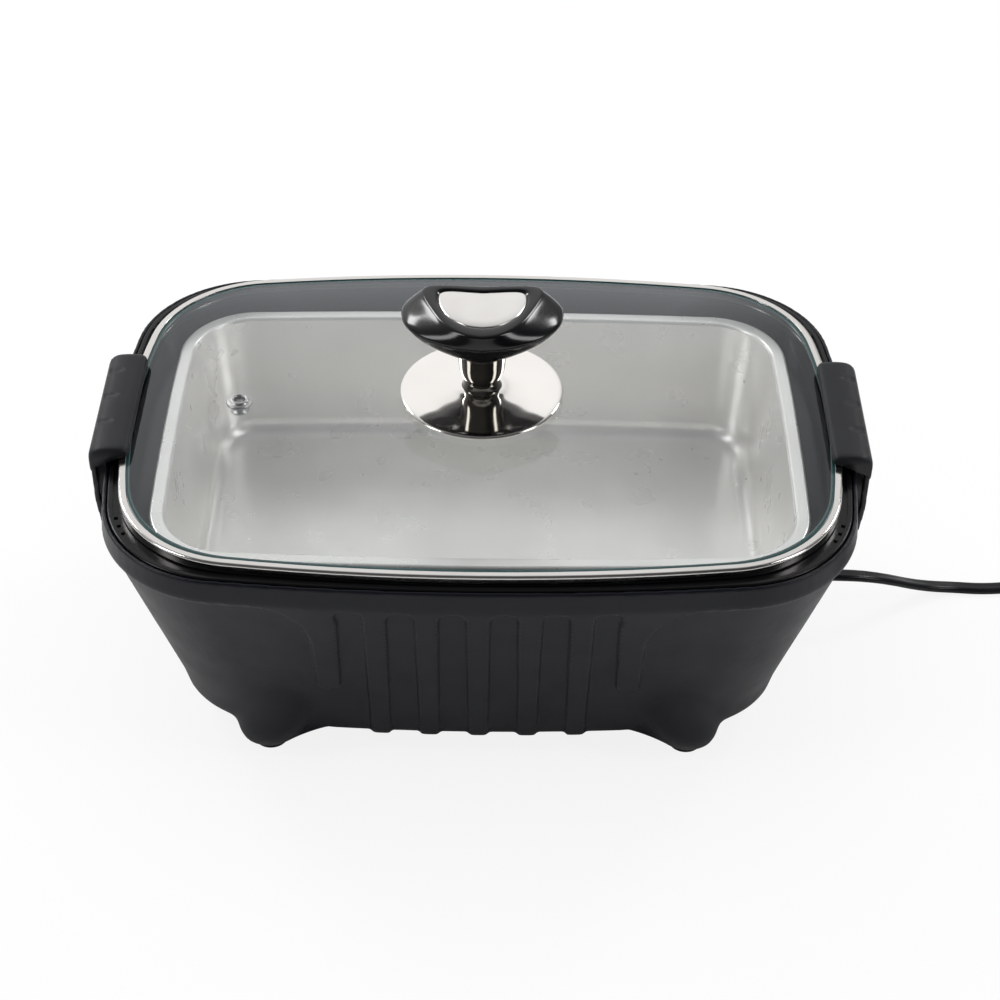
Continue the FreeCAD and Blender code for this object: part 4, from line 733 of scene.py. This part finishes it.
def carve_front(mesh):
    """Moves the outer skin of the front and back to the crisp raised pattern."""
    flat = np.empty(3 * len(mesh.vertices))
    mesh.vertices.foreach_get("co", flat)
    place = flat.reshape(-1, 3) / MM
    x, y, z = place[:, 0], np.abs(place[:, 1]), place[:, 2]
    radius = (TUB_HALF[0] ** 2 + TUB_BOW ** 2) / (2 * TUB_BOW)
    grow = -COLLAR_STEP - WALL_SLOPE * (COLLAR_LOW - z)
    proud = 1 - ramp(raised(x, z), -EDGE_HALF, EDGE_HALF)
    wall = TUB_HALF[1] - radius + np.sqrt((radius + grow) ** 2 - x ** 2)
    target = TUB_HALF[1] - radius + np.sqrt((radius + grow + RELIEF * proud) ** 2 - x ** 2)
    share = (1 - ramp(np.abs(x), 89.0, 93.0)) * ramp(z, 14.0, 17.0) * (1 - ramp(z, 101.5, 103.0))
    share *= (1 - ramp(leg_weight(np.abs(x), y, z), 0.0, 0.05)) * (y > wall - 1.3)
    place[:, 1] += np.sign(place[:, 1]) * (target - y) * share
    mesh.vertices.foreach_set("co", (place * MM).ravel())
    mesh.update()


def swell_legs(mesh):
    """Lets the legs bulge a little further outwards, as the photographed ones do."""
    flat = np.empty(3 * len(mesh.vertices))
    mesh.vertices.foreach_get("co", flat)
    place = flat.reshape(-1, 3) / MM
    x, y, z = np.abs(place[:, 0]), np.abs(place[:, 1]), place[:, 2]
    share = ramp(x, 82.0, 96.0) * ramp(y, 50.0, 60.0) * ramp(z, 2.5, 6.0) * (1 - ramp(z, 8.0, 28.0))
    place[:, 0] += np.sign(place[:, 0]) * LEG_SWELL * share
    mesh.vertices.foreach_set("co", (place * MM).ravel())
    mesh.update()


def modified(mesh, name, change):
    """Mesh after the modifiers that change adds to a passing object."""
    holder = bpy.data.objects.new(name, mesh)
    bpy.context.scene.collection.objects.link(holder)
    change(holder)
    bpy.context.view_layer.update()
    made = bpy.data.meshes.new_from_object(
        holder.evaluated_get(bpy.context.evaluated_depsgraph_get()))
    bpy.data.objects.remove(holder)
    return made


def soften(holder):
    remesh = holder.modifiers.new("voxels", "REMESH")
    remesh.mode = "VOXEL"
    remesh.voxel_size = TUB_VOXEL
    smooth = holder.modifiers.new("edges", "SMOOTH")
    smooth.factor, smooth.iterations = 0.5, EDGE_ROUNDS


def blend_legs(holder):
    group = holder.vertex_groups.new(name="legs")
    for vertex in holder.data.vertices:
        x, y, z = abs(vertex.co.x) / MM, abs(vertex.co.y) / MM, vertex.co.z / MM
        if z < 60.0 and y > 44.0 and x > 60.0:
            weight = float(leg_weight(x, y, z))
            if weight > 0.01:
                group.add([vertex.index], weight, "REPLACE")
    smooth = holder.modifiers.new("blend", "SMOOTH")
    smooth.factor, smooth.iterations = 0.5, BLEND_ROUNDS
    smooth.vertex_group = "legs"


def tub(material):
    """The housing's moulding with the soft edges and blended legs of the real one."""
    mesh = modified(nodes["housing"].data.copy(), "tub_start", soften)
    mesh = modified(mesh, "tub_blend", blend_legs)
    swell_legs(mesh)
    carve_front(mesh)
    piece("tub_moulding", mesh, material, "base", "housing_black", "housing")


def stage():
    """White floor that shows as the photograph's white background and keeps a faint shadow."""
    mesh = bpy.data.meshes.new("floor")
    half = FLOOR_SIZE / 2
    mesh.from_pydata([(-half, -half, 0), (half, -half, 0), (half, half, 0), (-half, half, 0)], [],
                     [(0, 1, 2, 3)])
    floor = bpy.data.objects.new("floor", mesh)
    bpy.context.scene.collection.objects.link(floor)
    mat, tree, out = new_material("floor_white")
    diffuse = node(tree, "ShaderNodeBsdfDiffuse", Color=(0.9, 0.9, 0.9, 1))
    glow = node(tree, "ShaderNodeEmission", Color=(1, 1, 1, 1), Strength=1.0)
    path = node(tree, "ShaderNodeLightPath")
    share = node(tree, "ShaderNodeMath", operation="MULTIPLY")
    share.inputs[1].default_value = 0.86
    mix = node(tree, "ShaderNodeMixShader")
    tree.links.new(path.outputs["Is Camera Ray"], share.inputs[0])
    tree.links.new(share.outputs[0], mix.inputs[0])
    tree.links.new(diffuse.outputs[0], mix.inputs[1])
    tree.links.new(glow.outputs[0], mix.inputs[2])
    tree.links.new(mix.outputs[0], out.inputs["Surface"])
    mesh.materials.append(mat)


def studio():
    """World: a bright wall behind and to the left, a dim room elsewhere, white where seen."""
    world = bpy.data.worlds.new("studio")
    bpy.context.scene.world = world
    world.use_nodes = True
    tree = world.node_tree
    back = tree.nodes["Background"]
    coords = node(tree, "ShaderNodeTexCoord")
    axes = node(tree, "ShaderNodeSeparateXYZ")
    wire_up(tree, (coords, "Generated", axes, "Vector"))
    level = None
    for axis, start, end, low, high in (("Y", -0.15, 0.72, 0.12, 1.0), ("X", 0.1, 0.5, 1.0, 0.4),
                                        ("Z", 0.62, 0.9, 1.0, 0.45)):
        room = node(tree, "ShaderNodeMapRange")
        for name, value in (("From Min", start), ("From Max", end), ("To Min", low), ("To Max", high)):
            room.inputs[name].default_value = value
        wire_up(tree, (axes, axis, room, "Value"))
        if level:
            both = node(tree, "ShaderNodeMath", operation="MULTIPLY")
            tree.links.new(level, both.inputs[0])
            tree.links.new(room.outputs["Result"], both.inputs[1])
            level = both.outputs[0]
        else:
            level = room.outputs["Result"]
    path = node(tree, "ShaderNodeLightPath")
    seen = node(tree, "ShaderNodeMix", data_type="FLOAT")
    seen.inputs["B"].default_value = 1.0
    back.inputs["Color"].default_value = (1, 1, 1, 1)
    tree.links.new(path.outputs["Is Camera Ray"], seen.inputs["Factor"])
    tree.links.new(level, seen.inputs["A"])
    tree.links.new(seen.outputs[0], back.inputs["Strength"])


camera()
lights()
stage()
studio()
looks = materials()
tub(looks["housing"])
lid_glass(looks["clear"])
vent(looks["steel"])
knob_metal(looks["polished"], looks["neck"])
glass_edge(looks["edge"])
handle(looks["knob"], looks["inlay"])
latch_arm(1, "arm_right", "latch_right", looks["arm"])
latch_arm(-1, "arm_left", "latch_left", looks["arm"])
latch_grip(1, "grip_sleeve_right", "latch_right", looks["grip"])
latch_grip(-1, "grip_sleeve_left", "latch_left", looks["grip"])
lead(looks["cord"])
bpy.context.scene.view_settings.view_transform = "Standard"
